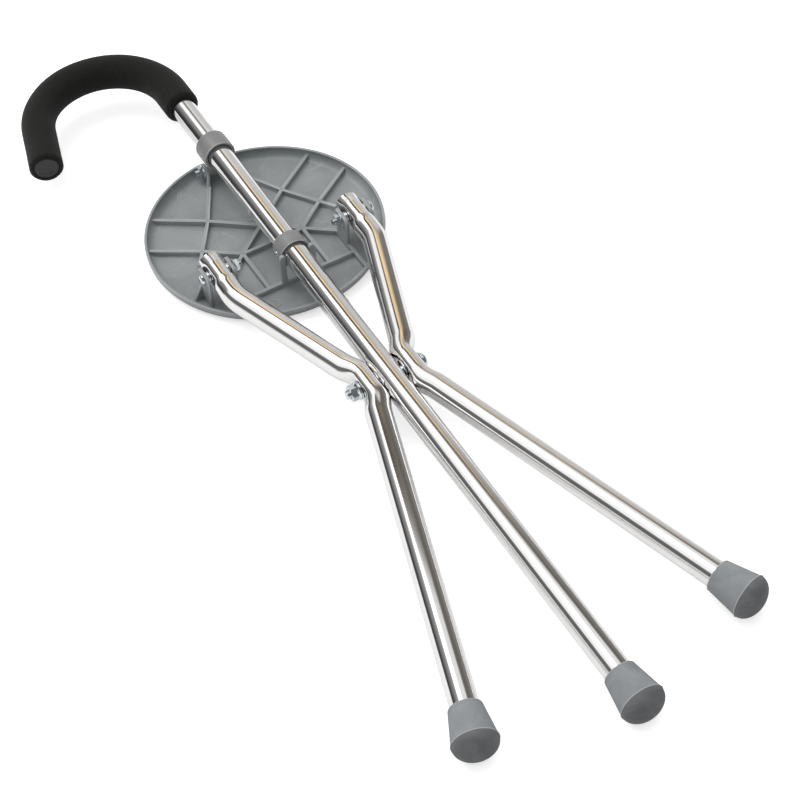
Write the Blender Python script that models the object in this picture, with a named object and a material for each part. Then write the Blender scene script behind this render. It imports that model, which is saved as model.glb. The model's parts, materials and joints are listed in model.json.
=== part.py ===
"""Folding seat cane, lying folded on the top face of its seat.

The cane is a straight tube with a crook handle. Two side legs turn on one bolt through it. The round
seat hangs between the legs' upper ends, and its far edge is hinged to a collar that slides on the cane.
Swinging the legs out draws the collar down to a fixed stop collar, and the seat ends up level.

Cane coordinates, used for everything but the seat: the leg pivot is the origin, +Y runs up the tube to
the handle, +X is the right side and +Z points away from the seat. The seat is drawn in world
coordinates: its top face lies on the floor, with the origin at its centre.
"""
import math

import bmesh
import bpy
from mathutils import Matrix, Vector

MM = 0.001
TOP = Vector((0.0, 0.0, 1.0))
ACROSS = Vector((1.0, 0.0, 0.0))
ALONG = Vector((0.0, 1.0, 0.0))

# Clearances
SEAT_GAP = 0.3 * MM
HOLE_GAP = 0.3 * MM
SLIDE_GAP = 0.5 * MM

# Tubes
TUBE_RADIUS = 11.1 * MM
TUBE_WALL = 1.4 * MM
TUBE_SIDES = 20

# Cane tube and crook
SHAFT_FOOT = -360.7 * MM
CROOK_START = 407.8 * MM
CROOK_RADIUS = 64.0 * MM
CROOK_TURN = math.radians(164.6)
CROOK_TAIL = 51.0 * MM
CROOK_STEPS = 12

# Foam grip
GRIP_START = 384.5 * MM
GRIP_RADIUS = 16.2 * MM
GRIP_END_RADIUS = 15.3 * MM
GRIP_ROUNDING = 2.5 * MM
GRIP_END_ROUNDING = 1.0 * MM
GRIP_SIDES = 18
PLUG_RECESS = 0.8 * MM
PLUG_FLANGE = 1.2 * MM
PLUG_DEPTH = 12.0 * MM

# Rubber tips, the same on the cane and both legs
TIP_LENGTH = 41.0 * MM
TIP_SLEEVE = 30.0 * MM
TIP_TOP_RADIUS = 13.2 * MM
TIP_RADIUS = 18.3 * MM
TIP_EDGE = 1.0 * MM
TIP_SIDES = 24

# Leg pivot bolt through the cane tube
PIVOT_BOLT_RADIUS = 4.0 * MM
PIVOT_SPACER = 1.2 * MM
PIVOT_SPACER_RADIUS = 8.5 * MM
PIVOT_WASHER = 1.0 * MM
PIVOT_WASHER_RADIUS = 8.0 * MM
PIVOT_HEAD = 4.2 * MM
PIVOT_HEAD_RADIUS = 6.6 * MM
PIVOT_NUT = 7.5 * MM
PIVOT_NUT_RADIUS = 7.2 * MM

# Seat shell and where it lies folded
SEAT_CENTRE_Y = 223.93 * MM
SEAT_DROP = 32.0 * MM
SEAT_RADIUS = 106.5 * MM
SEAT_HEIGHT = 12.1 * MM
SEAT_FLOOR = 2.4 * MM
SEAT_WALL = 2.3 * MM
SEAT_EDGE_RADIUS = 9.5 * MM
SEAT_SIDES = 80

# Seat hinges on the legs and on the sliding collar, in cane coordinates
HINGE_Y = 178.0 * MM
RIM_TO_COLLAR_HINGE = 11.43 * MM
COLLAR_HINGE_Y = SEAT_CENTRE_Y + SEAT_RADIUS - RIM_TO_COLLAR_HINGE
COLLAR_HINGE_Z = -21.5 * MM
HINGE_SCREW_RADIUS = 3.0 * MM
HINGE_HEAD = 3.3 * MM
HINGE_HEAD_RADIUS = 5.2 * MM
HINGE_NUT = 4.6 * MM
HINGE_NUT_RADIUS = 5.8 * MM
HINGE_WASHER_RADIUS = 6.5 * MM
SCREW_TAIL = 3.0 * MM

# Legs, given for the right one
LEG_LOWER_SLOPE = 0.305
LEG_UPPER_SLOPE = 0.340
LEG_BEND_RADIUS = 50.0 * MM
LEG_LENGTH = 341.5 * MM
LEG_WAIST = 7.6 * MM
LEG_WAIST_HEIGHT = 12.4 * MM
LEG_WAIST_FLAT = 9.0 * MM
LEG_WAIST_END = 30.0 * MM
LEG_TOP = HINGE_Y + 15.5 * MM
LEG_TOP_X = 66.8 * MM
LEG_TOP_WIDTH = 8.0 * MM
LEG_TOP_HEIGHT = 12.2 * MM
LEG_TOP_FLAT = HINGE_Y - 12.0 * MM
LEG_TOP_FLATTENING = 16.0 * MM
LEG_BEND_STEPS = 4
FLAT_SQUARENESS = 0.8

# Fixed stop collar and its pin
STOP_FOOT = 163.0 * MM
STOP_HEIGHT = 15.5 * MM
STOP_RADIUS = 14.0 * MM
STOP_PIN_RADIUS = 2.2 * MM
STOP_PIN_REACH = 13.0 * MM

# Sliding collar and the hook below it that takes the collar hinge screw
COLLAR_FOOT = COLLAR_HINGE_Y - 13.0 * MM
COLLAR_HEIGHT = 20.0 * MM
COLLAR_RADIUS = 15.0 * MM
COLLAR_EDGE = 1.6 * MM
BORE_CHAMFER = 1.8 * MM
COLLAR_SIDES = 28
HOOK_BACK = 4.6 * MM
HOOK_LIP = 2.3 * MM
HOOK_REACH = 4.2 * MM

# Ribs under the seat, which are on top as it lies
RIB_WIDTH = 2.6 * MM
RIB_HEIGHT = 7.5 * MM
FITTINGS_TOP = 96.0 * MM
RIB_KNOT = (37.2 * MM, 39.3 * MM)
RIB_RIM_TURN = 0.695
RIB_SIDE_KNOT = (58.3 * MM, 7.5 * MM)
RIB_SIDE_TURN = 0.667
RIB_CORNER = (29.4 * MM, -14.7 * MM)
CLIP_RIB_Y = -64.8 * MM
BOSS_PLACE = (23.5 * MM, -12.0 * MM)
BOSS_RADIUS = 5.0 * MM

# Lugs on the seat
LUG_THICKNESS = 3.2 * MM
INNER_LUG_FACE = 55.7 * MM
OUTER_LUG_FACE = 77.3 * MM
LUG_TOP = 5.0 * MM
LUG_BACK = 10.0 * MM
LUG_FRONT = 10.5 * MM
LUG_FOOT = 8.0 * MM
LUG_BACK_ROUNDING = 2.0 * MM
LUG_FRONT_ROUNDING = 6.0 * MM
GUSSET_REACH = 8.5 * MM
GUSSET_HEIGHT = 18.0 * MM
COLLAR_LUG_FACE = 10.4 * MM
COLLAR_LUG_THICKNESS = 3.0 * MM
COLLAR_LUG_RADIUS = 6.5 * MM
COLLAR_LUG_TURN = 130.0
COLLAR_LUG_BEND = 7.5 * MM
COLLAR_LUG_FOOT = 17.8 * MM
COLLAR_LUG_SPLAY = 5.2 * MM
RIM_NOTCH_START = 4.0 * MM
RIM_NOTCH_FLOOR = 1.0 * MM

# Clip that holds the cane tube when the seat is folded
CLIP_THICKNESS = 3.2 * MM
CLIP_WIDTH = 6.0 * MM
CLIP_REACH = 7.6 * MM

# The cane lies with its tip and the seat's top face on the floor, which gives its slope
FOOT_TO_SEAT = SEAT_CENTRE_Y - SHAFT_FOOT
PITCH = math.atan2(SEAT_DROP, FOOT_TO_SEAT) - math.asin(TIP_RADIUS / math.hypot(SEAT_DROP, FOOT_TO_SEAT))
CANE = Matrix.Rotation(PITCH, 4, "X") @ Matrix.Translation((0.0, -SEAT_CENTRE_Y, SEAT_DROP))

LOOKS = {
    "polished_aluminium": ((0.80, 0.80, 0.80), 0.14, 1.0),
    "zinc_plated_steel": ((0.62, 0.65, 0.68), 0.28, 1.0),
    "grey_plastic": ((0.215, 0.235, 0.240), 0.55, 0.0),
    "grey_rubber": ((0.200, 0.205, 0.215), 0.75, 0.0),
    "black_foam": ((0.016, 0.016, 0.015), 0.95, 0.0),
}


# Scene and materials

def clear_scene():
    """Start from an empty scene."""
    for item in list(bpy.data.objects):
        bpy.data.objects.remove(item)


def material(name, look):
    """One Principled material for one sub-part."""
    colour, roughness, metallic = LOOKS[look]
    made = bpy.data.materials.new(name)
    made.use_nodes = True
    shader = made.node_tree.nodes["Principled BSDF"]
    shader.inputs["Base Color"].default_value = (*colour, 1.0)
    shader.inputs["Roughness"].default_value = roughness
    shader.inputs["Metallic"].default_value = metallic
    made.diffuse_color = (*colour, 1.0)
    return made


def joint(name, point):
    """Empty on a joint's axis, which carries the pieces that turn or slide there."""
    empty = bpy.data.objects.new(name, None)
    empty.empty_display_size = 0.02
    empty.location = point
    bpy.context.scene.collection.objects.link(empty)
    return empty


def finish(piece, carrier, look, frame=CANE):
    """Move a piece from its own coordinates to its carrier and give it its material."""
    to_carrier = Matrix.Translation(-carrier.location) @ frame
    piece.data.transform(to_carrier)
    piece.parent = carrier
    piece.data.materials.clear()
    piece.data.materials.append(material(piece.name, look))
    piece.data.shade_smooth()
    piece.data.set_sharp_from_angle(angle=math.radians(35.0))
    return piece


# Solids

def to_object(name, mesh_data):
    """Turn a bmesh into an object with its faces pointing out."""
    bmesh.ops.remove_doubles(mesh_data, verts=mesh_data.verts, dist=1e-7)
    bmesh.ops.recalc_face_normals(mesh_data, faces=mesh_data.faces)
    mesh = bpy.data.meshes.new(name)
    mesh_data.to_mesh(mesh)
    mesh_data.free()
    made = bpy.data.objects.new(name, mesh)
    bpy.context.scene.collection.objects.link(made)
    return made


def combine(body, tools, operation):
    """Boolean a body with one or more tools at once, keep the result and drop the tools."""
    group = bpy.data.collections.new("tools")
    for tool in tools:
        group.objects.link(tool)
    step = body.modifiers.new("step", "BOOLEAN")
    step.operation = operation
    step.solver = "EXACT"
    step.operand_type = "COLLECTION"
    step.collection = group
    graph = bpy.context.evaluated_depsgraph_get()
    result = bpy.data.meshes.new_from_object(body.evaluated_get(graph))
    body.modifiers.clear()
    body.data = result
    for tool in tools:
        bpy.data.objects.remove(tool)
    bpy.data.collections.remove(group)
    return body


def join(body, *tools):
    """Fuse tools into a body."""
    return combine(body, tools, "UNION")


def cut(body, *tools):
    """Cut tools out of a body."""
    return combine(body, tools, "DIFFERENCE")


def turned(name, profile, sides, axis=ALONG, start=(0.0, 0.0, 0.0)):
    """Spin (distance along the axis, radius) points round an axis through start."""
    mesh_data = bmesh.new()
    verts = [mesh_data.verts.new((radius, 0.0, along)) for along, radius in profile]
    edges = [mesh_data.edges.new(pair) for pair in zip(verts, verts[1:])]
    if profile[0][1] > 0.0:
        edges.append(mesh_data.edges.new((verts[-1], verts[0])))
    bmesh.ops.spin(mesh_data, geom=verts + edges, cent=(0.0, 0.0, 0.0), axis=TOP,
                   angle=2.0 * math.pi, steps=sides, use_merge=True)
    turn = TOP.rotation_difference(axis).to_matrix().to_4x4()
    bmesh.ops.transform(mesh_data, matrix=Matrix.Translation(start) @ turn, verts=mesh_data.verts)
    return to_object(name, mesh_data)


def rod(name, radius, begin, end, axis=ACROSS, start=(0.0, 0.0, 0.0), sides=16):
    """Plain round bar between two distances along an axis."""
    profile = [(begin, 0.0), (begin, radius), (end, radius), (end, 0.0)]
    return turned(name, profile, sides, axis, start)


def ring(name, radius, bore, begin, end, start=(0.0, 0.0, 0.0), sides=16):
    """Washer or spacer across the cane between two X distances."""
    profile = [(begin, bore), (begin, radius), (end, radius), (end, bore)]
    return turned(name, profile, sides, ACROSS, start)


def slab(name, outline, near, far, axis):
    """Extrude an outline along X from YZ points, along Y from XZ points or along Z from XY points."""
    index = list(axis).index(1.0)
    mesh_data = bmesh.new()
    corners = []
    for first, second in outline:
        point = [first, second]
        point.insert(index, near)
        corners.append(mesh_data.verts.new(point))
    face = mesh_data.faces.new(corners)
    grown = bmesh.ops.extrude_face_region(mesh_data, geom=[face])
    moved = [item for item in grown["geom"] if isinstance(item, bmesh.types.BMVert)]
    bmesh.ops.translate(mesh_data, vec=axis * (far - near), verts=moved)
    return to_object(name, mesh_data)


def arc(centre, radius, begin, end, steps):
    """Points on a circle from one angle to another, in degrees."""
    angles = [math.radians(begin + (end - begin) * step / steps) for step in range(steps + 1)]
    return [(centre[0] + radius * math.cos(a), centre[1] + radius * math.sin(a)) for a in angles]


def ease(value, low, high):
    """Rise smoothly from 0 at low to 1 at high."""
    share = min(max((value - low) / (high - low), 0.0), 1.0)
    return share * share * (3.0 - 2.0 * share)


def centre_line(corners, radius, steps):
    """Stations (x, y, heading) along straight runs whose corners are rounded with one radius."""
    points = [Vector(corner) for corner in corners]
    stations = []
    for before, corner, after in zip(points, points[1:], points[2:]):
        way_in = (corner - before).normalized()
        way_out = (after - corner).normalized()
        start = math.atan2(way_in.y, way_in.x)
        turn = way_in.angle_signed(way_out)
        side = Vector((way_in.y, -way_in.x)) * math.copysign(1.0, turn)
        centre = corner - way_in * radius * math.tan(abs(turn) / 2.0) + side * radius
        for step in range(steps + 1):
            heading = start - turn * step / steps
            outward = Vector((-math.sin(heading), math.cos(heading))) * math.copysign(1.0, turn)
            stations.append((*(centre + outward * radius), heading))
    first, last = points[0], points[-1]
    return [(*first, stations[0][2])] + stations + [(*last, stations[-1][2])]


def with_stations(stations, places):
    """Add stations at the given Y places, where a line runs straight up."""
    dense = list(stations)
    for place in places:
        for number, (here, there) in enumerate(zip(dense, dense[1:])):
            if here[1] < place < there[1]:
                share = (place - here[1]) / (there[1] - here[1])
                blend = tuple(a + (b - a) * share for a, b in zip(here, there))
                dense.insert(number + 1, blend)
                break
    return dense


def swept(name, sections, bore_of, sides):
    """Hollow tube along a flat path.

    A section is (x, y, heading, half width, half height, squareness), a superellipse across the
    heading; bore_of gives the half width and half height of its bore.
    """
    mesh_data = bmesh.new()
    outside, bore = [], []
    for x, y, heading, wide, high, square in sections:
        side = Vector((math.sin(heading), -math.cos(heading), 0.0))
        for loops, (across, up) in ((outside, (wide, high)), (bore, bore_of(wide, high))):
            loop = []
            for number in range(sides):
                angle = 2.0 * math.pi * number / sides
                cosine, sine = math.cos(angle), math.sin(angle)
                right = math.copysign(abs(cosine) ** (2.0 / square), cosine) * across
                rise = math.copysign(abs(sine) ** (2.0 / square), sine) * up
                loop.append(mesh_data.verts.new(Vector((x, y, 0.0)) + side * right + TOP * rise))
            loops.append(loop)
    chain = outside + bore[::-1] + [outside[0]]
    for here, there in zip(chain, chain[1:]):
        for number in range(sides):
            following = (number + 1) % sides
            mesh_data.faces.new((here[number], here[following], there[following], there[number]))
    return to_object(name, mesh_data)


def tube_bore(wide, high):
    """Bore of a tube's section, one wall inside it."""
    return wide - TUBE_WALL, high - TUBE_WALL


def drill(radius, place, reach):
    """Round cutter across the cane for a bolt, screw or pin of the given radius."""
    return rod("drill", radius + HOLE_GAP, -reach, reach, start=place)


# Cane

def crook_path(trim):
    """Stations of the handle's centre line above the straight run, up to trim short of its end."""
    path = []
    for step in range(CROOK_STEPS + 1):
        turn = CROOK_TURN * step / CROOK_STEPS
        x = -CROOK_RADIUS + CROOK_RADIUS * math.cos(turn)
        y = CROOK_START + CROOK_RADIUS * math.sin(turn)
        path.append((x, y, math.pi / 2.0 + turn))
    x, y, heading = path[-1]
    tail = CROOK_TAIL - trim
    path.append((x + tail * math.cos(heading), y + tail * math.sin(heading), heading))
    return path


def main_shaft():
    """Cane tube with its crook, drilled for the pivot bolt and the stop pin."""
    path = [(0.0, SHAFT_FOOT, math.pi / 2.0)] + crook_path(PLUG_RECESS + PLUG_FLANGE + SEAT_GAP)
    sections = [(*station, TUBE_RADIUS, TUBE_RADIUS, 2.0) for station in path]
    shaft = swept("main_shaft", sections, tube_bore, TUBE_SIDES)
    cut(shaft, drill(PIVOT_BOLT_RADIUS, (0.0, 0.0, 0.0), 2.0 * TUBE_RADIUS))
    return cut(shaft, drill(STOP_PIN_RADIUS, stop_pin_place(), 2.0 * TUBE_RADIUS))


def handle_grip():
    """Foam sleeve over the crook, rounded at both ends and slightly thinner at its tip."""
    path = crook_path(0.0)
    lengths = [0.0]
    for here, there in zip(path, path[1:]):
        lengths.append(lengths[-1] + math.dist(here[:2], there[:2]))
    sections = []
    for angle in (0.0, 45.0, 90.0):
        radius = GRIP_RADIUS - GRIP_ROUNDING * (1.0 - math.sin(math.radians(angle)))
        rise = GRIP_ROUNDING * (1.0 - math.cos(math.radians(angle)))
        sections.append((0.0, GRIP_START + rise, math.pi / 2.0, radius, radius, 2.0))
    for station, length in zip(path, lengths):
        radius = GRIP_RADIUS + (GRIP_END_RADIUS - GRIP_RADIUS) * length / lengths[-1]
        sections.append((*station, radius, radius, 2.0))
    x, y, heading = path[-1]
    edge = GRIP_END_ROUNDING
    inner = (x - edge * math.cos(heading), y - edge * math.sin(heading), heading)
    sections[-1:] = [(*inner, GRIP_END_RADIUS, GRIP_END_RADIUS, 2.0),
                     (*path[-1], GRIP_END_RADIUS - edge, GRIP_END_RADIUS - edge, 2.0)]
    bore = TUBE_RADIUS + SEAT_GAP
    return swept("handle_grip", sections, lambda wide, high: (bore, bore), GRIP_SIDES)


def handle_end_plug():
    """Plug in the open end of the crook, flanged over the tube's edge."""
    x, y, heading = crook_path(PLUG_RECESS)[-1]
    stem = TUBE_RADIUS - TUBE_WALL - SEAT_GAP
    flange = TUBE_RADIUS - SEAT_GAP
    depth = PLUG_FLANGE + PLUG_DEPTH
    profile = [(-depth, 0.0), (-depth, 0.9 * stem), (-0.85 * depth, stem), (-PLUG_FLANGE, stem),
               (-PLUG_FLANGE, flange), (-0.3 * PLUG_FLANGE, flange), (0.0, 0.95 * flange), (0.0, 0.0)]
    out = Vector((math.cos(heading), math.sin(heading), 0.0))
    return turned("handle_end_plug", profile, TUBE_SIDES, out, (x, y, 0.0))


def tip(name, end, down):
    """Rubber tip on a tube's end: a flared sleeve closed by a dome."""
    dome_start = TIP_SLEEVE + TIP_EDGE
    dome_radius = TIP_RADIUS - 0.7 * TIP_EDGE
    dome = arc((dome_start, 0.0), 1.0, 0.0, 90.0, 4)
    profile = [(dome_start + (TIP_LENGTH - dome_start) * (along - dome_start), dome_radius * radius)
               for along, radius in dome]
    profile[0] = (TIP_LENGTH, 0.0)
    socket = TUBE_RADIUS + SEAT_GAP
    profile += [(dome_start, TIP_RADIUS - 0.2 * TIP_EDGE), (TIP_SLEEVE, TIP_RADIUS),
                (TIP_EDGE, TIP_TOP_RADIUS), (0.0, TIP_TOP_RADIUS - 0.5 * TIP_EDGE),
                (0.0, socket), (TIP_SLEEVE, socket), (TIP_SLEEVE, 0.0)]
    top = end + down * (SEAT_GAP - TIP_SLEEVE)
    return turned(name, profile, TIP_SIDES, down, top)


def stop_pin_place():
    """Middle of the stop pin."""
    return 0.0, STOP_FOOT + STOP_HEIGHT / 2.0, 0.0


def stop_collar():
    """Fixed collar that ends the slide, with a chamfered bore on its foot side."""
    bore = TUBE_RADIUS + SEAT_GAP
    edge = COLLAR_EDGE / 3.0
    profile = [(0.0, bore + BORE_CHAMFER), (0.0, STOP_RADIUS - edge), (edge, STOP_RADIUS),
               (STOP_HEIGHT - edge, STOP_RADIUS), (STOP_HEIGHT, STOP_RADIUS - edge),
               (STOP_HEIGHT, bore), (BORE_CHAMFER, bore)]
    collar = turned("stop_collar", profile, COLLAR_SIDES, ALONG, (0.0, STOP_FOOT, 0.0))
    return cut(collar, drill(STOP_PIN_RADIUS, stop_pin_place(), 2.0 * STOP_RADIUS))


def stop_pin():
    """Pin through the stop collar and the cane tube."""
    return rod("stop_pin", STOP_PIN_RADIUS, -STOP_PIN_REACH, STOP_PIN_REACH, start=stop_pin_place())


def sliding_collar():
    """Collar that runs on the cane, with a hook below it for the collar hinge screw."""
    edge = COLLAR_EDGE
    profile = [(0.0, 0.0), (0.0, COLLAR_RADIUS - 0.5 * edge), (0.5 * edge, COLLAR_RADIUS),
               (COLLAR_HEIGHT - edge, COLLAR_RADIUS),
               (COLLAR_HEIGHT - 0.3 * edge, COLLAR_RADIUS - 0.3 * edge),
               (COLLAR_HEIGHT, COLLAR_RADIUS - edge), (COLLAR_HEIGHT, 0.0)]
    collar = turned("sliding_collar", profile, COLLAR_SIDES, ALONG, (0.0, COLLAR_FOOT, 0.0))
    join(collar, collar_hook())
    bore = TUBE_RADIUS + SLIDE_GAP
    low, high = -BORE_CHAMFER, COLLAR_HEIGHT + BORE_CHAMFER
    reamer = [(low, 0.0), (low, bore + 2.0 * BORE_CHAMFER), (BORE_CHAMFER, bore), (high, bore), (high, 0.0)]
    return cut(collar, turned("reamer", reamer, COLLAR_SIDES, ALONG, (0.0, COLLAR_FOOT, 0.0)))


def collar_hook():
    """Hook round the collar hinge screw, open towards the handle."""
    eye = HINGE_SCREW_RADIUS + HOLE_GAP
    root = -COLLAR_RADIUS / 3.0
    inside = COLLAR_HINGE_Y - eye
    bottom = COLLAR_HINGE_Z - eye - HOOK_LIP
    reach = COLLAR_HINGE_Y + HOOK_REACH
    outline = [(inside - HOOK_BACK, root)]
    outline += arc((inside, bottom + HOOK_BACK), HOOK_BACK, 180.0, 270.0, 4)
    outline += [(reach, bottom), (reach, bottom + HOOK_LIP)]
    outline += arc((COLLAR_HINGE_Y, COLLAR_HINGE_Z), eye, 270.0, 180.0, 5)
    outline += [(inside, root)]
    half = COLLAR_LUG_FACE - SEAT_GAP
    return slab("hook", outline, -half, half, ACROSS)


# Legs

def leg_waist_x():
    """Centre of the flattened waist, where a leg lies against its spacer."""
    return TUBE_RADIUS + 2.0 * SEAT_GAP + PIVOT_SPACER + LEG_WAIST


def leg_corners():
    """Corners of a leg's centre line: lower end, waist, upper bend and top."""
    bend = (math.atan(LEG_LOWER_SLOPE) + math.atan(LEG_UPPER_SLOPE)) / 2.0
    waist_x = leg_waist_x() - LEG_BEND_RADIUS * (1.0 / math.cos(bend) - 1.0)
    lean = math.atan(LEG_LOWER_SLOPE)
    foot = (waist_x + LEG_LENGTH * math.sin(lean), -LEG_LENGTH * math.cos(lean))
    return [foot, (waist_x, 0.0), (LEG_TOP_X, (LEG_TOP_X - waist_x) / LEG_UPPER_SLOPE), (LEG_TOP_X, LEG_TOP)]


def leg_sections(side):
    """Sections of a leg, round but for the flattened waist and upper end; side is -1 or 1."""
    path = centre_line(leg_corners(), LEG_BEND_RADIUS, LEG_BEND_STEPS)
    flat_end = LEG_TOP_FLAT - LEG_TOP_FLATTENING
    path = with_stations(path, [-LEG_WAIST_END, -0.75 * LEG_WAIST_END, 0.75 * LEG_WAIST_END, LEG_WAIST_END])
    path = with_stations(path, [flat_end + LEG_TOP_FLATTENING / 3.0, LEG_TOP_FLAT - LEG_TOP_FLATTENING / 3.0,
                                LEG_TOP_FLAT])
    sections = []
    for x, y, heading in path:
        waist = 1.0 - ease(abs(y), LEG_WAIST_FLAT, LEG_WAIST_END)
        top = ease(y, flat_end, LEG_TOP_FLAT)
        wide = TUBE_RADIUS + (LEG_WAIST - TUBE_RADIUS) * waist + (LEG_TOP_WIDTH - TUBE_RADIUS) * top
        high = TUBE_RADIUS + (LEG_WAIST_HEIGHT - TUBE_RADIUS) * waist + (LEG_TOP_HEIGHT - TUBE_RADIUS) * top
        square = 2.0 + FLAT_SQUARENESS * max(waist, top)
        x += (leg_waist_x() - x) * waist
        lean = (math.pi / 2.0 - heading) * (1.0 - waist)
        sections.append((side * x, y, math.pi / 2.0 - side * lean, wide, high, square))
    return sections


def leg(name, side):
    """Side leg, bent at its waist and near its top, drilled for its bolt and its screw."""
    tube = swept(name, leg_sections(side), tube_bore, TUBE_SIDES)
    cut(tube, drill(PIVOT_BOLT_RADIUS, (0.0, 0.0, 0.0), LEG_TOP_X))
    return cut(tube, drill(HINGE_SCREW_RADIUS, (0.0, HINGE_Y, 0.0), 2.0 * LEG_TOP_X))


def leg_tip(name, side):
    """Tip on a side leg."""
    (x, y), (waist_x, _) = leg_corners()[:2]
    down = Vector((side * (x - waist_x), y, 0.0)).normalized()
    return tip(name, Vector((side * x, y, 0.0)), down)


# Fasteners

def hexagon(name, radius, begin, end, place):
    """Hexagonal bar across the cane, with its corners at the given radius."""
    return rod(name, radius, begin, end, start=place, sides=6)


def nut(name, radius, bolt_radius, begin, outward, height, place):
    """Flanged hexagon nut that starts at begin and stands outward, -1 or 1, along X."""
    flange_end = begin + outward * height * 0.3
    made = hexagon(name, radius, flange_end - outward * height * 0.1, begin + outward * height, place)
    join(made, rod("flange", radius * 1.12, begin, flange_end, start=place, sides=20))
    return cut(made, drill(bolt_radius, place, 2.0 * OUTER_LUG_FACE))


def screw(name, radius, tail_end, head_begin, outward, head_height, head_radius, place):
    """Domed screw from its tail's end to its head, which stands outward, -1 or 1, along X."""
    shank = abs(head_begin - tail_end)
    profile = [(-shank, 0.0), (-shank, 0.85 * radius), (0.15 * radius - shank, radius), (0.0, radius),
               (0.0, head_radius), (0.35 * head_height, head_radius), (0.8 * head_height, 0.8 * head_radius),
               (head_height, 0.45 * head_radius), (head_height, 0.0)]
    start = Vector(place) + ACROSS * head_begin
    return turned(name, profile, 16, ACROSS * outward, start)


def pivot_set():
    """Bolt, nut, washers and spacers at the leg pivot."""
    place = (0.0, 0.0, 0.0)
    bore = PIVOT_BOLT_RADIUS + HOLE_GAP
    spacer = TUBE_RADIUS + SEAT_GAP
    washer = leg_waist_x() + LEG_WAIST + SEAT_GAP
    seat = washer + PIVOT_WASHER + SEAT_GAP
    pieces = []
    for side, word in ((-1.0, "left"), (1.0, "right")):
        pieces.append(ring("pivot_spacer_" + word, PIVOT_SPACER_RADIUS, bore,
                           side * spacer, side * (spacer + PIVOT_SPACER)))
        pieces.append(ring("pivot_washer_" + word, PIVOT_WASHER_RADIUS, bore,
                           side * washer, side * (washer + PIVOT_WASHER)))
    tail = -seat - PIVOT_NUT - SCREW_TAIL
    return pieces + [
        screw("pivot_bolt", PIVOT_BOLT_RADIUS, tail, seat, 1.0, PIVOT_HEAD, PIVOT_HEAD_RADIUS, place),
        nut("pivot_nut", PIVOT_NUT_RADIUS, PIVOT_BOLT_RADIUS, -seat, -1.0, PIVOT_NUT, place),
    ]


def leg_hinge_set(side, word):
    """Screw, nut and two washers that hold a leg's upper end between its lugs."""
    place = (0.0, HINGE_Y, 0.0)
    bore = HINGE_SCREW_RADIUS + HOLE_GAP
    leg_inner = LEG_TOP_X - LEG_TOP_WIDTH
    leg_outer = LEG_TOP_X + LEG_TOP_WIDTH
    nut_seat = INNER_LUG_FACE - LUG_THICKNESS - SEAT_GAP
    head_seat = OUTER_LUG_FACE + LUG_THICKNESS + SEAT_GAP
    tail = nut_seat - HINGE_NUT - SCREW_TAIL
    return [
        ring(word + "_leg_washer_inner", HINGE_WASHER_RADIUS, bore,
             side * (INNER_LUG_FACE + SEAT_GAP), side * (leg_inner - SEAT_GAP), place),
        ring(word + "_leg_washer_outer", HINGE_WASHER_RADIUS, bore,
             side * (leg_outer + SEAT_GAP), side * (OUTER_LUG_FACE - SEAT_GAP), place),
        screw(word + "_leg_screw", HINGE_SCREW_RADIUS, side * tail, side * head_seat, side,
              HINGE_HEAD, HINGE_HEAD_RADIUS, place),
        nut(word + "_leg_nut", HINGE_NUT_RADIUS, HINGE_SCREW_RADIUS, side * nut_seat, -side,
            HINGE_NUT, place),
    ]


def collar_hinge_set():
    """Screw and nut through the seat's two lugs and the collar's hook."""
    place = (0.0, COLLAR_HINGE_Y, COLLAR_HINGE_Z)
    seat = COLLAR_LUG_FACE + COLLAR_LUG_THICKNESS + SEAT_GAP
    tail = -seat - HINGE_NUT - SCREW_TAIL
    return [
        screw("collar_hinge_screw", HINGE_SCREW_RADIUS, tail, seat, 1.0, HINGE_HEAD, HINGE_HEAD_RADIUS,
              place),
        nut("collar_hinge_nut", HINGE_NUT_RADIUS, HINGE_SCREW_RADIUS, -seat, -1.0, HINGE_NUT, place),
    ]


# Seat, in world coordinates

def seat_shell():
    """Round dish with a rolled edge, lying on its flat top face."""
    flat = SEAT_RADIUS - SEAT_EDGE_RADIUS
    inner_radius = SEAT_EDGE_RADIUS - SEAT_WALL * 0.9
    profile = [(0.0, 0.0)]
    profile += [(z, r) for r, z in arc((flat, SEAT_EDGE_RADIUS), SEAT_EDGE_RADIUS, 270.0, 360.0, 5)]
    profile += [(SEAT_HEIGHT, SEAT_RADIUS), (SEAT_HEIGHT, SEAT_RADIUS - SEAT_WALL)]
    centre = (SEAT_RADIUS - SEAT_WALL - inner_radius, SEAT_FLOOR + inner_radius)
    profile += [(z, r) for r, z in arc(centre, inner_radius, 360.0, 270.0, 4)]
    profile += [(SEAT_FLOOR, 0.0)]
    return turned("seat", profile, SEAT_SIDES, TOP)


def seat_envelope():
    """What ribs and lugs are trimmed to: the shell's outer form less half its wall, carried upwards."""
    skin = SEAT_WALL / 2.0
    flat = SEAT_RADIUS - SEAT_EDGE_RADIUS
    profile = [(skin, 0.0)]
    profile += [(z, r) for r, z in arc((flat, SEAT_EDGE_RADIUS), SEAT_EDGE_RADIUS - skin, 270.0, 360.0, 5)]
    profile += [(FITTINGS_TOP, SEAT_RADIUS - skin), (FITTINGS_TOP, 0.0)]
    return turned("envelope", profile, SEAT_SIDES, TOP)


def rib(start, end):
    """Straight rib between two points of the seat's plan."""
    a, b = Vector(start), Vector(end)
    run = (b - a).normalized() * RIB_WIDTH / 2.0
    side = Vector((-run.y, run.x))
    outline = [a - run + side, a - run - side, b + run - side, b + run + side]
    return slab("rib", outline, SEAT_FLOOR / 2.0, RIB_HEIGHT, TOP)


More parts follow.
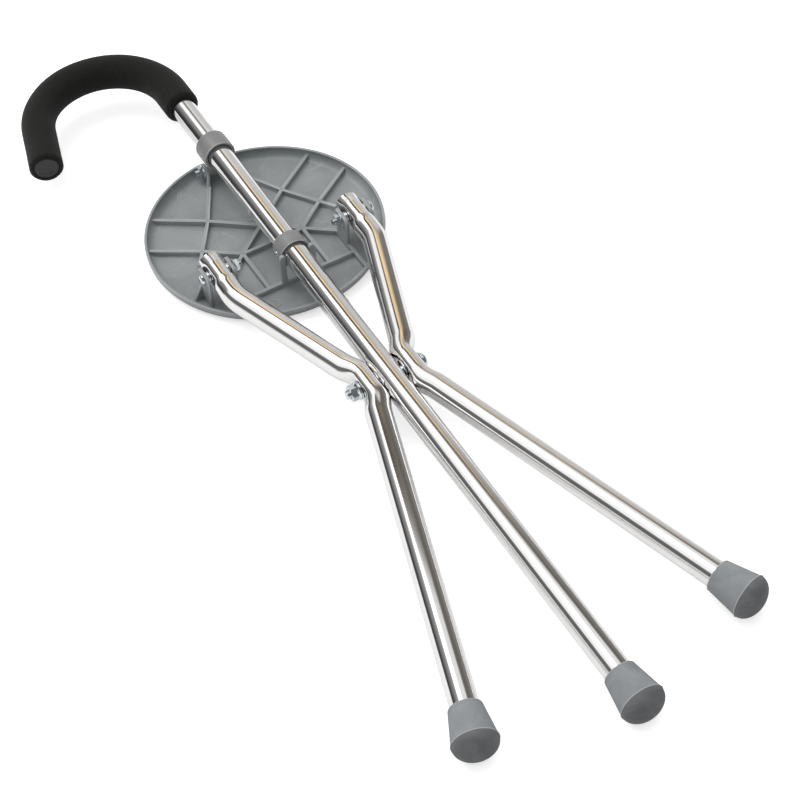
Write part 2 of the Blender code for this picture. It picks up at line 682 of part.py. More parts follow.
def rim_point(start, slope):
    """Where a line leaves the seat's rim, from a point and with a slope in plan."""
    run = Vector((1.0, slope)).normalized()
    a = Vector(start)
    along = -a.dot(run) + math.sqrt(a.dot(run) ** 2 - a.length_squared + SEAT_RADIUS ** 2)
    return a + run * along


def rib_lines():
    """Start and end points of the ribs on the right half, then of those across the middle."""
    lug_x = INNER_LUG_FACE - LUG_THICKNESS / 2.0
    across = Vector(RIB_CORNER) - Vector((-RIB_KNOT[0], RIB_KNOT[1]))
    slope = across.y / across.x
    far = RIB_KNOT[1] + slope * (lug_x + RIB_KNOT[0])
    side_slope = (RIB_SIDE_KNOT[1] - RIB_KNOT[1]) / (RIB_SIDE_KNOT[0] - RIB_KNOT[0])
    collar_lug_x = COLLAR_LUG_FACE + COLLAR_LUG_THICKNESS / 2.0 + COLLAR_LUG_SPLAY
    collar_lug_foot = seat_point(COLLAR_HINGE_Y, COLLAR_HINGE_Z)[0] - COLLAR_LUG_FOOT
    half = [
        (rim_point(RIB_KNOT, RIB_RIM_TURN), RIB_KNOT),
        ((-RIB_KNOT[0], RIB_KNOT[1]), (lug_x, far)),
        (rim_point(RIB_SIDE_KNOT, RIB_SIDE_TURN), RIB_SIDE_KNOT),
        (RIB_SIDE_KNOT, RIB_CORNER),
        ((collar_lug_x, collar_lug_foot), RIB_KNOT),
        (RIB_KNOT, (LEG_TOP_X, RIB_KNOT[1] + side_slope * (LEG_TOP_X - RIB_KNOT[0]))),
        (RIB_CORNER, (RIB_CORNER[0], CLIP_RIB_Y)),
        ((lug_x, far), (lug_x, -SEAT_RADIUS * math.sqrt(1.0 - (lug_x / SEAT_RADIUS) ** 2))),
    ]
    return half, [((-RIB_CORNER[0], RIB_CORNER[1]), RIB_CORNER), ((-lug_x, CLIP_RIB_Y), (lug_x, CLIP_RIB_Y))]


def seat_point(y, z):
    """World Y and Z of a point on the cane's middle plane."""
    point = CANE @ Vector((0.0, y, z))
    return point.y, point.z


def leg_lug(name, hinge, face, thickness):
    """Upright plate beside a leg's upper end, flat on top and rounded most at its foot side."""
    y, z = hinge
    low = SEAT_FLOOR / 2.0
    top = z + LUG_TOP
    back = (y + LUG_BACK - LUG_BACK_ROUNDING, top - LUG_BACK_ROUNDING)
    front = (y - LUG_FRONT + LUG_FRONT_ROUNDING, top - LUG_FRONT_ROUNDING)
    outline = [(y + LUG_BACK, low)] + arc(back, LUG_BACK_ROUNDING, 0.0, 90.0, 3)
    outline += arc(front, LUG_FRONT_ROUNDING, 90.0, 180.0, 5) + [(y - LUG_FOOT, low)]
    return slab(name, outline, face, face + thickness, ACROSS)


def collar_lug(side):
    """Rim lug that holds the collar hinge screw, bent outwards at its foot; side is -1 or 1."""
    y, z = seat_point(COLLAR_HINGE_Y, COLLAR_HINGE_Z)
    low = SEAT_FLOOR / 2.0
    inner = side * COLLAR_LUG_FACE
    outer = inner + side * COLLAR_LUG_THICKNESS
    splay = side * COLLAR_LUG_SPLAY
    rim, bend, foot = y + 2.0 * COLLAR_LUG_RADIUS, y - COLLAR_LUG_BEND, y - COLLAR_LUG_FOOT
    plan = [(inner, rim), (inner, bend), (inner + splay, foot),
            (outer + splay, foot), (outer, bend), (outer, rim)]
    plate = slab("collar_lug", plan, low, z + 2.0 * COLLAR_LUG_RADIUS, TOP)
    outline = [(y + COLLAR_LUG_RADIUS, low)]
    outline += arc((y, z), COLLAR_LUG_RADIUS, 0.0, COLLAR_LUG_TURN, 7)
    outline += [(foot, RIB_HEIGHT - SEAT_GAP), (foot, low)]
    return combine(plate, [slab("outline", outline, 0.0, outer + 2.0 * splay, ACROSS)], "INTERSECT")


def leg_lugs(side):
    """The inner and outer lug of a leg's hinge, with the outer one's gusset; side is -1 or 1."""
    hinge = seat_point(HINGE_Y, 0.0)
    inner = side * (INNER_LUG_FACE - LUG_THICKNESS)
    outer = side * OUTER_LUG_FACE
    plate = side * LUG_THICKNESS
    low = SEAT_FLOOR / 2.0
    foot = outer + plate
    gusset_y = hinge[0] + LUG_BACK - RIB_WIDTH - SEAT_GAP
    triangle = [(foot - plate / 2.0, low), (foot + side * GUSSET_REACH, low),
                (foot + side * GUSSET_REACH, SEAT_FLOOR), (foot, GUSSET_HEIGHT),
                (foot - plate / 2.0, GUSSET_HEIGHT)]
    return [
        leg_lug("inner_lug", hinge, inner, plate),
        leg_lug("outer_lug", hinge, outer, plate),
        slab("gusset", triangle, gusset_y, gusset_y + RIB_WIDTH, ALONG),
    ]


def clip_prong(side):
    """One of the two prongs that stand either side of the cane tube; side is -1 or 1."""
    inner = side * (TUBE_RADIUS + SLIDE_GAP)
    outer = inner + side * CLIP_WIDTH
    middle = inner + side * CLIP_WIDTH / 2.0
    cane_y = SEAT_CENTRE_Y + CLIP_RIB_Y
    top = seat_point(cane_y, CLIP_REACH)[1] - CLIP_WIDTH / 2.0
    turn = (0.0, 180.0) if side > 0.0 else (180.0, 0.0)
    outline = [(outer, SEAT_FLOOR / 2.0)] + arc((middle, top), CLIP_WIDTH / 2.0, *turn, 6)
    outline += [(inner, SEAT_FLOOR / 2.0)]
    half = CLIP_THICKNESS / 2.0
    return slab("prong", outline, CLIP_RIB_Y - half, CLIP_RIB_Y + half, ALONG)


def seat():
    """Seat: dish, ribs, boss, lugs and clip in one moulding, notched under the collar."""
    half, middle = rib_lines()
    fittings = turned("fittings", [(SEAT_FLOOR / 2.0, 0.0), (SEAT_FLOOR / 2.0, BOSS_RADIUS),
                                   (RIB_HEIGHT, BOSS_RADIUS), (RIB_HEIGHT, 0.0)], 16, TOP, (*BOSS_PLACE, 0.0))
    pieces = [rib(start, end) for start, end in middle + half]
    pieces += [rib((-start[0], start[1]), (-end[0], end[1])) for start, end in half]
    for side in (-1.0, 1.0):
        pieces += leg_lugs(side) + [collar_lug(side), clip_prong(side)]
    join(fittings, *pieces)
    combine(fittings, [seat_envelope()], "INTERSECT")
    shell = join(seat_shell(), fittings)
    y, z = seat_point(COLLAR_HINGE_Y, COLLAR_HINGE_Z)
    notch = [(-COLLAR_LUG_FACE, y + RIM_NOTCH_START), (COLLAR_LUG_FACE, y + RIM_NOTCH_START),
             (COLLAR_LUG_FACE, 2.0 * SEAT_RADIUS), (-COLLAR_LUG_FACE, 2.0 * SEAT_RADIUS)]
    return cut(shell, slab("notch", notch, SEAT_FLOOR + RIM_NOTCH_FLOOR, 2.0 * SEAT_HEIGHT, TOP),
               drill(HINGE_SCREW_RADIUS, (0.0, y, z), 2.0 * COLLAR_LUG_FACE),
               drill(HINGE_SCREW_RADIUS, (0.0, *seat_point(HINGE_Y, 0.0)), SEAT_RADIUS))


# Assembly

def build():
    """Make every piece and hang it on its joint."""
    clear_scene()
    pivot = CANE @ Vector((0.0, 0.0, 0.0))
    hinge = CANE @ Vector((0.0, HINGE_Y, 0.0))
    cane = joint("cane", pivot)
    left_leg_axis = joint("left_leg_axis", pivot)
    right_leg_axis = joint("right_leg_axis", pivot)
    seat_axis = joint("seat_axis", hinge)
    collar_slide = joint("collar_slide", CANE @ Vector((0.0, COLLAR_FOOT, 0.0)))

    finish(main_shaft(), cane, "polished_aluminium")
    finish(handle_grip(), cane, "black_foam")
    finish(handle_end_plug(), cane, "black_foam")
    finish(stop_collar(), cane, "grey_plastic")
    finish(stop_pin(), cane, "zinc_plated_steel")
    finish(tip("main_tip", Vector((0.0, SHAFT_FOOT, 0.0)), -ALONG), cane, "grey_rubber")
    for piece in pivot_set():
        finish(piece, cane, "zinc_plated_steel")
    finish(sliding_collar(), collar_slide, "grey_plastic")

    for side, word, axis in ((-1.0, "left", left_leg_axis), (1.0, "right", right_leg_axis)):
        finish(leg(word + "_leg", side), axis, "polished_aluminium")
        finish(leg_tip(word + "_tip", side), axis, "grey_rubber")
        for piece in leg_hinge_set(side, word):
            finish(piece, seat_axis, "zinc_plated_steel")

    finish(seat(), seat_axis, "grey_plastic", Matrix.Identity(4))
    for piece in collar_hinge_set():
        finish(piece, seat_axis, "zinc_plated_steel")


build()
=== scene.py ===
"""Looks of the folding seat cane: bright drawn tube, moulded grey plastic, black foam and grey rubber.

Cane coordinates put the leg pivot at the origin, X to the right, Y up the tube to the handle and Z away from
the seat. They are read from the frame's joints. The seat is worked out in world coordinates, with its top
face on the floor and the origin at its centre.
"""
import json
import math

import bmesh
import bpy
import numpy as np
from mathutils import Matrix


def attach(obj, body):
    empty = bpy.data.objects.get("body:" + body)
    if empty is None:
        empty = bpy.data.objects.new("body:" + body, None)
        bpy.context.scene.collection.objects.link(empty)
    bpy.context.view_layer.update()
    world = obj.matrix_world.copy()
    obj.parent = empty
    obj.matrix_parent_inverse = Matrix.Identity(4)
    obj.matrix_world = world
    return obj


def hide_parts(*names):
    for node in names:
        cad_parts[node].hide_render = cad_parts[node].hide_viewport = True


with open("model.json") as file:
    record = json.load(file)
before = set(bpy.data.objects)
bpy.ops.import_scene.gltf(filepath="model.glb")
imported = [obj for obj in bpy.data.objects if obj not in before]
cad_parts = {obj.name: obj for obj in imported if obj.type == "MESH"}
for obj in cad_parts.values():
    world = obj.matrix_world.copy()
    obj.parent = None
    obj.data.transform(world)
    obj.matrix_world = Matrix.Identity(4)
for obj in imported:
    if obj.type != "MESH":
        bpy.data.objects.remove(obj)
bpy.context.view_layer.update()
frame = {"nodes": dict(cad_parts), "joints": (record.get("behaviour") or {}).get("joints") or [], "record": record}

MM = 0.001
JOINTS = {joint["name"]: joint for joint in frame["joints"]}
PIVOT = np.array(JOINTS["left_leg_swing"]["pos_m"])
HINGE = np.array(JOINTS["seat_tilt"]["pos_m"])
ACROSS = np.array([1.0, 0.0, 0.0])
ALONG = -np.array(JOINTS["collar_slide"]["axis"])
ALONG = ALONG / np.linalg.norm(ALONG)
ABOVE = np.cross(ACROSS, ALONG)
CANE_AXES = np.stack([ACROSS, ALONG, ABOVE])
UPRIGHT = np.array([0.0, 0.0, 1.0])
FLOOR_CENTRE = np.zeros(3)
SIDES = ((-1.0, "left"), (1.0, "right"))

# Clearances and tube
GAP = 0.3 * MM
SLIDE_GAP = 0.5 * MM
TUBE_RADIUS = 11.1 * MM
TUBE_WALL = 1.4 * MM
TUBE_SIDES = 64
TUBE_LIP = 0.4 * MM
SHARP_ANGLE = 35.0

# Cane tube, crook and grip
SHAFT_FOOT = -360.7 * MM
CROOK_START = 407.8 * MM
CROOK_RADIUS = 64.0 * MM
CROOK_TURN = math.radians(164.6)
CROOK_TAIL = 51.0 * MM
GRIP_START = 381.0 * MM
GRIP_RADIUS = 16.2 * MM
GRIP_END_RADIUS = 15.3 * MM
GRIP_ROUNDING = 4.5 * MM
GRIP_END_ROUNDING = 1.8 * MM
GRIP_RIPPLE = 0.12 * MM
GRIP_RIPPLE_LENGTHS = (13.0 * MM, 31.0 * MM)
GRIP_SIDES = 72
PLUG_RECESS = 0.8 * MM
PLUG_FLANGE = 1.2 * MM
PLUG_STEM = 10.0 * MM
PLUG_EDGE = 0.7 * MM
PLUG_DISH = 0.4 * MM

# Rubber tips
TIP_LENGTH = 41.0 * MM
TIP_SLEEVE = 30.0 * MM
TIP_SHOULDER = 28.0 * MM
TIP_TOP_RADIUS = 13.2 * MM
TIP_RADIUS = 18.3 * MM
TIP_LIP = 0.5 * MM
TIP_EDGE = 0.8 * MM

# Leg pivot. A bolt is given by its shank's radius, and then its head's and its nut's height and radius.
PIVOT_BOLT_RADIUS = 4.0 * MM
PIVOT_SPACER = 1.2 * MM
PIVOT_SPACER_RADIUS = 8.5 * MM
PIVOT_WASHER = 1.0 * MM
PIVOT_WASHER_RADIUS = 8.0 * MM
PIVOT_BOLT = (PIVOT_BOLT_RADIUS, 4.2 * MM, 6.6 * MM, 7.5 * MM, 7.2 * MM)

# Hinge screws
HINGE_Y = 178.0 * MM
HINGE_SCREW_RADIUS = 3.0 * MM
HINGE_BOLT = (HINGE_SCREW_RADIUS, 3.3 * MM, 5.2 * MM, 4.6 * MM, 5.8 * MM)
HINGE_WASHER_RADIUS = 5.0 * MM
SCREW_TAIL = 3.0 * MM
THREAD_PITCH = 1.0 * MM
THREAD_DEPTH = 0.3 * MM
THREAD_START = 0.4 * MM
THREAD_RUN_OUT = 1.5 * MM
TAIL_CHAMFER = 0.5 * MM
HEAD_EDGE = 0.2 * MM
SOCKET_EDGE = 0.1 * MM
WASHER_EDGE = 0.25 * MM

# Shares of a screw head's or a nut's radius and height
HEAD_RIM = 0.25
HEAD_DOME = 68.0
SOCKET_WIDTH = 0.36
SOCKET_MOUTH = 1.12
SOCKET_FLOOR = 0.45
NUT_FLANGE = 1.12
NUT_FLANGE_RISE = 0.12
NUT_FLANGE_END = 0.33
NUT_FLANGE_SLOPE = 1.2
NUT_CHAMFER_START = 0.87
NUT_CHAMFER = math.radians(28.0)

# Legs, given for the right one
LEG_LOWER_SLOPE = 0.305
LEG_UPPER_SLOPE = 0.340
LEG_BEND_RADIUS = 50.0 * MM
LEG_LENGTH = 341.5 * MM
LEG_WAIST = 7.6 * MM
LEG_WAIST_X = TUBE_RADIUS + 2.0 * GAP + PIVOT_SPACER + LEG_WAIST
LEG_WAIST_HEIGHT = 11.8 * MM
LEG_WAIST_FLAT = 9.0 * MM
LEG_WAIST_END = 30.0 * MM
LEG_TOP = HINGE_Y + 15.5 * MM
LEG_TOP_X = 66.8 * MM
LEG_TOP_WIDTH = 8.0 * MM
LEG_TOP_HEIGHT = 11.6 * MM
LEG_TOP_FLAT = HINGE_Y - 12.0 * MM
LEG_TOP_FLATTENING = 9.0 * MM
LEG_END_WIDTH = 11.1 * MM
LEG_END_START = HINGE_Y + 5.5 * MM
LEG_END_FULL = HINGE_Y + 11.0 * MM

# Stop collar and its pin
STOP_FOOT = 163.0 * MM
STOP_HEIGHT = 15.5 * MM
STOP_RADIUS = 14.0 * MM
STOP_EDGE = 0.8 * MM
STOP_PIN_RADIUS = 2.2 * MM
STOP_PIN_HEAD_RADIUS = 2.9 * MM
STOP_PIN_HEAD = 1.5 * MM

# Seat shell
SEAT_CENTRE_Y = 223.93 * MM
SEAT_RADIUS = 106.5 * MM
SEAT_HEIGHT = 12.1 * MM
SEAT_FLOOR = 2.4 * MM
SEAT_WALL = 2.3 * MM
SEAT_EDGE_RADIUS = 9.5 * MM
SEAT_LIP = 0.6 * MM
RIM_GROOVE = 0.5 * MM
RIM_GROOVE_Z = 10.0 * MM
SEAT_SIDES = 192
SEAT_SHARP_ANGLE = 28.0
FITTING_FOOT = SEAT_FLOOR / 2.0
FLOOR_RINGS = ((-2.4 * MM, 26.2 * MM, 3.4 * MM), (-32.4 * MM, -80.0 * MM, 5.0 * MM))
FLOOR_RING_WIDTH = 0.9 * MM
FLOOR_RING_HEIGHT = 0.55 * MM

# Sliding collar
RIM_TO_COLLAR_HINGE = 11.43 * MM
COLLAR_HINGE_Y = SEAT_CENTRE_Y + SEAT_RADIUS - RIM_TO_COLLAR_HINGE
COLLAR_HINGE_Z = -21.5 * MM
COLLAR_FOOT = COLLAR_HINGE_Y - 13.0 * MM
COLLAR_HEIGHT = 20.0 * MM
COLLAR_RADIUS = 15.0 * MM
COLLAR_EDGE = 1.6 * MM
COLLAR_LIP = 1.2 * MM
COLLAR_SIDES = 96
BORE_CHAMFER = 1.8 * MM
HOOK_BACK = 4.6 * MM
HOOK_LIP = 2.3 * MM
HOOK_REACH = 4.2 * MM

# Ribs and boss
RIB_WIDTH = 3.1 * MM
RIB_HEIGHT = 7.5 * MM
RIB_DRAFT = 0.1 * MM
RIB_EDGE = 0.3 * MM
RIB_FILLET = 0.5 * MM
FITTINGS_TOP = 96.0 * MM
RIB_KNOT = (37.2 * MM, 39.3 * MM)
RIB_RIM_TURN = 0.695
RIB_SIDE_KNOT = (58.3 * MM, 7.5 * MM)
RIB_SIDE_TURN = 0.667
RIB_CORNER = (29.4 * MM, -14.7 * MM)
CLIP_RIB_Y = -64.8 * MM
BOSS_PLACE = (23.5 * MM, -12.0 * MM)
BOSS_RADIUS = 5.0 * MM
BOSS_BORE = 2.3 * MM
BOSS_BORE_DEPTH = 3.5 * MM

# Lugs and clip
LUG_EDGE = 0.6 * MM
LUG_THICKNESS = 3.2 * MM
INNER_LUG_FACE = 55.7 * MM
OUTER_LUG_FACE = 77.3 * MM
LUG_TOP = 5.0 * MM
LUG_BACK = 10.0 * MM
LUG_FRONT = 10.5 * MM
LUG_FOOT = 8.0 * MM
LUG_BACK_ROUNDING = 2.0 * MM
LUG_FRONT_ROUNDING = 6.0 * MM
GUSSET_REACH = 8.5 * MM
GUSSET_HEIGHT = 18.0 * MM
COLLAR_LUG_FACE = 10.4 * MM
COLLAR_LUG_THICKNESS = 3.0 * MM
COLLAR_LUG_RADIUS = 6.5 * MM
COLLAR_LUG_TURN = 130.0
COLLAR_LUG_BEND = 6.0 * MM
COLLAR_LUG_FOOT = 17.8 * MM
COLLAR_LUG_SPLAY = 5.2 * MM
RIM_NOTCH_START = 4.0 * MM
RIM_NOTCH_FLOOR = 1.0 * MM
CLIP_THICKNESS = 3.2 * MM
CLIP_WIDTH = 5.6 * MM
CLIP_WRAP = 16.0
CLIP_BEAD = 0.5 * MM


# Placing and meshes

def to_world(points):
    """Cane coordinates to world coordinates."""
    return PIVOT + np.asarray(points) @ CANE_AXES


COLLAR_HINGE = to_world((0.0, COLLAR_HINGE_Y, COLLAR_HINGE_Z))
STOP_PIN_PLACE = to_world((0.0, STOP_FOOT + STOP_HEIGHT / 2.0, 0.0))


def smooth_step(value, low, high):
    """Rise from 0 at low to 1 at high as 3t^2 - 2t^3."""
    share = np.clip((value - low) / (high - low), 0.0, 1.0)
    return share * share * (3.0 - 2.0 * share)


def sweep(begin, end, count):
    """Evenly spaced angles between two in degrees, given in radians."""
    return np.radians(np.linspace(begin, end, count))


def placed(name, data):
    """Object in the scene for a mesh, a camera or a lamp."""
    made = bpy.data.objects.new(name, data)
    bpy.context.scene.collection.objects.link(made)
    return made


def tidy_normals(piece, angle):
    """Merge doubled points, drop empty faces, turn faces outwards and shade smooth but for sharp edges."""
    work = bmesh.new()
    work.from_mesh(piece.data)
    bmesh.ops.remove_doubles(work, verts=work.verts, dist=1e-6)
    bmesh.ops.dissolve_degenerate(work, edges=work.edges, dist=1e-7)
    bmesh.ops.recalc_face_normals(work, faces=work.faces)
    work.to_mesh(piece.data)
    work.free()
    piece.data.shade_smooth()
    piece.data.set_sharp_from_angle(angle=math.radians(angle))
    return piece


def mark_wear_and_glint(piece, low=7.0, high=18.0):
    """Write how much each point is worn and how much edge highlight is painted on it: a smooth step of the
    sharpest outward fold of the edges at it.

    A fold is the angle between the two faces of an edge, and counts where the second face's middle lies
    behind the first face.
    """
    mesh = piece.data
    edge_of, vertex_of = np.empty(len(mesh.loops), int), np.empty((len(mesh.edges), 2), int)
    mesh.loops.foreach_get("edge_index", edge_of)
    mesh.edges.foreach_get("vertices", vertex_of.reshape(-1))
    sizes = np.empty(len(mesh.polygons), int)
    mesh.polygons.foreach_get("loop_total", sizes)
    normals, middles = np.empty((2, len(sizes), 3))
    mesh.polygons.foreach_get("normal", normals.reshape(-1))
    mesh.polygons.foreach_get("center", middles.reshape(-1))
    order = np.argsort(edge_of, kind="stable")
    edge, face = edge_of[order], np.repeat(np.arange(len(sizes)), sizes)[order]
    pair = np.flatnonzero(edge[1:] == edge[:-1])
    first, second = face[pair], face[pair + 1]
    fold = np.degrees(np.arccos(np.clip(np.sum(normals[first] * normals[second], axis=1), -1.0, 1.0)))
    fold[np.sum((middles[second] - middles[first]) * normals[first], axis=1) > 0.0] = 0.0
    sharpest = np.zeros(len(mesh.vertices))
    np.maximum.at(sharpest, vertex_of[edge[pair]].reshape(-1), np.repeat(fold, 2))
    carry(piece, "wear_and_glint", smooth_step(sharpest, low, high))


def carry(piece, name, values):
    """Store a value for each point of the mesh, for the finish to read."""
    layer = piece.data.attributes.new(name, "FLOAT", "POINT")
    layer.data.foreach_set("value", np.broadcast_to(values, len(piece.data.vertices)).astype(np.float32))
    return piece


def loft(name, rings, loop=False, caps=False, angle=SHARP_ANGLE):
    """Skin over rings of points, each of which closes on itself.

    loop joins the last ring to the first, and caps closes both ends with a flat face. The UV map runs round
    the tube in u and along the rings in v, both in metres.
    """
    rows, sides = rings.shape[:2]
    row, side = np.meshgrid(np.arange(rows if loop else rows - 1), np.arange(sides), indexing="ij")
    row, side = row.ravel(), side.ravel()
    next_row, next_side = (row + 1) % rows, (side + 1) % sides
    faces = np.stack([row * sides + side, row * sides + next_side,
                      next_row * sides + next_side, next_row * sides + side], axis=1).tolist()
    steps = np.linalg.norm(np.diff(rings.mean(axis=1), axis=0), axis=1)
    along = np.concatenate([[0.0], np.cumsum(steps), [0.0]])
    girth = 2.0 * math.pi * TUBE_RADIUS / sides
    u = np.stack([side, side + 1, side + 1, side], axis=1) * girth
    v = np.stack([along[row], along[row], along[row + 1], along[row + 1]], axis=1)
    corners = np.stack([u, v], axis=-1).reshape(-1, 2)
    if caps:
        faces += [list(range(sides)), list(range((rows - 1) * sides, rows * sides))]
        corners = np.concatenate([corners, np.zeros((2 * sides, 2))])
    mesh = bpy.data.meshes.new(name)
    mesh.from_pydata(rings.reshape(-1, 3).tolist(), [], faces)
    layer = mesh.uv_layers.new(name="surface")
    layer.data.foreach_set("uv", corners.astype(np.float32).ravel())
    return tidy_normals(placed(name, mesh), angle)


def pipe(name, outer, inner, angle=SHARP_ANGLE):
    """Tube between the rings of its outer and of its inner skin."""
    return loft(name, np.concatenate([outer, inner[::-1]]), loop=True, angle=angle)


def combined(body, tools, operation, angle=SHARP_ANGLE):
    """Boolean of a body with all its tools at once; the tools are used up."""
    group = bpy.data.collections.new("tools")
    for tool in tools:
        group.objects.link(tool)
    step = body.modifiers.new("step", "BOOLEAN")
    step.operation = operation
    step.solver = "EXACT"
    step.operand_type = "COLLECTION"
    step.collection = group
    result = bpy.data.meshes.new_from_object(body.evaluated_get(bpy.context.evaluated_depsgraph_get()))
    body.modifiers.clear()
    body.data = result
    for tool in tools:
        bpy.data.objects.remove(tool)
    bpy.data.collections.remove(group)
    body.data.shade_smooth()
    body.data.set_sharp_from_angle(angle=math.radians(angle))
    return body


def spun(heights, radii, sides, axis, start):
    """Rings round an axis: a height for each ring, and a radius for each ring or for each of its points."""
    heights = np.asarray(heights, float)
    radii = np.broadcast_to(np.asarray(radii, float).reshape(len(heights), -1), (len(heights), sides))
    axis = np.asarray(axis, float) / np.linalg.norm(axis)
    first = np.cross(axis, ABOVE if abs(axis @ ABOVE) < 0.9 else ACROSS)
    first = first / np.linalg.norm(first)
    second = np.cross(axis, first)
    turn = turns(sides)
    spoke = np.cos(turn)[:, None] * first + np.sin(turn)[:, None] * second
    return start + heights[:, None, None] * axis + radii[..., None] * spoke


def turns(sides):
    """Angles of a ring's points."""
    return np.linspace(0.0, 2.0 * math.pi, sides, endpoint=False)


def turned(name, profile, sides, axis, start, loop=False, angle=SHARP_ANGLE):
    """Turned form from (distance along the axis, radius) points."""
    profile = np.asarray(profile)
    return loft(name, spun(profile[:, 0], profile[:, 1], sides, axis, start), loop=loop, angle=angle)


def arc(centre, radius, begin, end, steps):
    """Points of a circle's arc between two angles in degrees."""
    turn = sweep(begin, end, steps + 1)
    return np.stack([centre[0] + radius * np.cos(turn), centre[1] + radius * np.sin(turn)], axis=1)


def joined(*parts):
    """One outline from points and arrays of points."""
    return np.concatenate([np.atleast_2d(part) for part in parts])


def plate(name, outline, near, far, edge, axis, place=None):
    """Plate with rounded edges: its outline is drawn in by edge (1 - sin a) at a depth of edge (1 - cos a)
    from either face, and stands across the given axis (0, 1 or 2).
    """
    before, after = outline - np.roll(outline, 1, axis=0), np.roll(outline, -1, axis=0) - outline
    hand = np.sign(np.sum(outline[:, 0] * after[:, 1] - outline[:, 1] * after[:, 0]))
    normals = [np.stack([-run[:, 1], run[:, 0]], axis=1) / np.linalg.norm(run, axis=1, keepdims=True)
               for run in (before, after)]
    opening = 1.0 + np.sum(normals[0] * normals[1], axis=1, keepdims=True)
    inward = hand * (normals[0] + normals[1]) / opening
    rise = sweep(0.0, 90.0, 5)
    inset = edge * (1.0 - np.sin(rise))
    depth = edge * (1.0 - np.cos(rise)) * np.sign(far - near)
    insets = np.concatenate([inset, inset[::-1]])
    depths = np.concatenate([near + depth, far - depth[::-1]])
    flat = outline + inward * insets[:, None, None]
    rings = np.insert(flat, axis, depths[:, None], axis=2)
    return loft(name, rings if place is None else place(rings), caps=True)


def drill(radius, place, reach):
    """Round cutter across the cane."""
    profile = [(-reach, 0.0), (-reach, radius + GAP), (reach, radius + GAP), (reach, 0.0)]
    return turned("drill", profile, 48, ACROSS, place)


# Tubes and grip

def tube_rings(centres, headings, wide, high, press=0.0, sides=TUBE_SIDES):
    """Rings across a flat path: an ellipse stands across each heading, and its sides are pressed flat.

    A point's x becomes x / (1 + |x press|^8)^(1/8), which leaves the top as it is and stops the sides softly
    at 1 / press.
    """
    turn = turns(sides)[None, :]
    right = np.cos(turn) * np.reshape(wide, (-1, 1))
    right = right / (1.0 + np.abs(right * np.reshape(press, (-1, 1))) ** 8.0) ** 0.125
    rise = np.sin(turn) * np.reshape(high, (-1, 1))
    side = np.stack([np.sin(headings), -np.cos(headings), np.zeros_like(headings)], axis=-1)
    flat = np.concatenate([centres, np.zeros((len(centres), 1))], axis=1)
    return to_world(flat[:, None] + side[:, None] * right[..., None] + UPRIGHT * rise[..., None])


def path_along(lengths, headings, start):
    """Points of a path whose heading is given at each length: the running integral of (cos, sin)."""
    middle = (headings[1:] + headings[:-1]) / 2.0
    steps = np.stack([np.cos(middle), np.sin(middle)], axis=1) * np.diff(lengths)[:, None]
    return np.asarray(start) + np.concatenate([np.zeros((1, 2)), np.cumsum(steps, axis=0)])


def crook_path(begin, trim, spacing=2.5 * MM):
    """Centre line from a place on the straight run to trim short of the crook's end.

    The heading is upright, turns evenly through the crook's angle over its arc, and then stays.
    """
    arc_length = CROOK_RADIUS * CROOK_TURN
    total = CROOK_START - begin + arc_length + CROOK_TAIL - trim
    lengths = np.linspace(0.0, total, int(total / spacing) + 1)
    share = np.clip((lengths - (CROOK_START - begin)) / arc_length, 0.0, 1.0)
    headings = math.pi / 2.0 + CROOK_TURN * share
    return lengths, headings, path_along(lengths, headings, (0.0, begin))


def cane_tube():
    """Cane tube with its crook, drilled for the bolt and the stop pin: outer and inner skin are joined."""
    _, headings, centres = crook_path(SHAFT_FOOT, PLUG_RECESS + PLUG_FLANGE + GAP, 4.0 * MM)
    bore = TUBE_RADIUS - TUBE_WALL
    outer = tube_rings(centres, headings, TUBE_RADIUS, TUBE_RADIUS)
    inner = tube_rings(centres, headings, bore, bore)
    holes = [drill(PIVOT_BOLT_RADIUS, PIVOT, 2.0 * TUBE_RADIUS),
             drill(STOP_PIN_RADIUS, STOP_PIN_PLACE, 2.0 * TUBE_RADIUS)]
    return combined(pipe("shaft_tube", outer, inner), holes, "DIFFERENCE")


def crook_foam():
    """Foam sleeve: its radius falls evenly along it, its ends are quarter-round, and slow sines round and
    along it give the slight unevenness of cut foam.
    """
    lengths, headings, centres = crook_path(GRIP_START, 0.0)
    total = lengths[-1]
    radius = GRIP_RADIUS + (GRIP_END_RADIUS - GRIP_RADIUS) * lengths / total
    near = np.clip(lengths / GRIP_ROUNDING, 0.0, 1.0)
    far = np.clip((total - lengths) / GRIP_END_ROUNDING, 0.0, 1.0)
    radius -= GRIP_ROUNDING * (1.0 - np.sqrt(1.0 - (1.0 - near) ** 2))
    radius -= GRIP_END_ROUNDING * (1.0 - np.sqrt(1.0 - (1.0 - far) ** 2))
    quick, slow = (np.sin(lengths / length) for length in GRIP_RIPPLE_LENGTHS)
    radius += GRIP_RIPPLE * quick * slow
    bore = TUBE_RADIUS + GAP
    outer = tube_rings(centres, headings, radius, radius, sides=GRIP_SIDES)
    inner = tube_rings(centres, headings, bore, bore, sides=GRIP_SIDES)
    return pipe("crook_foam", outer, inner, angle=60.0)


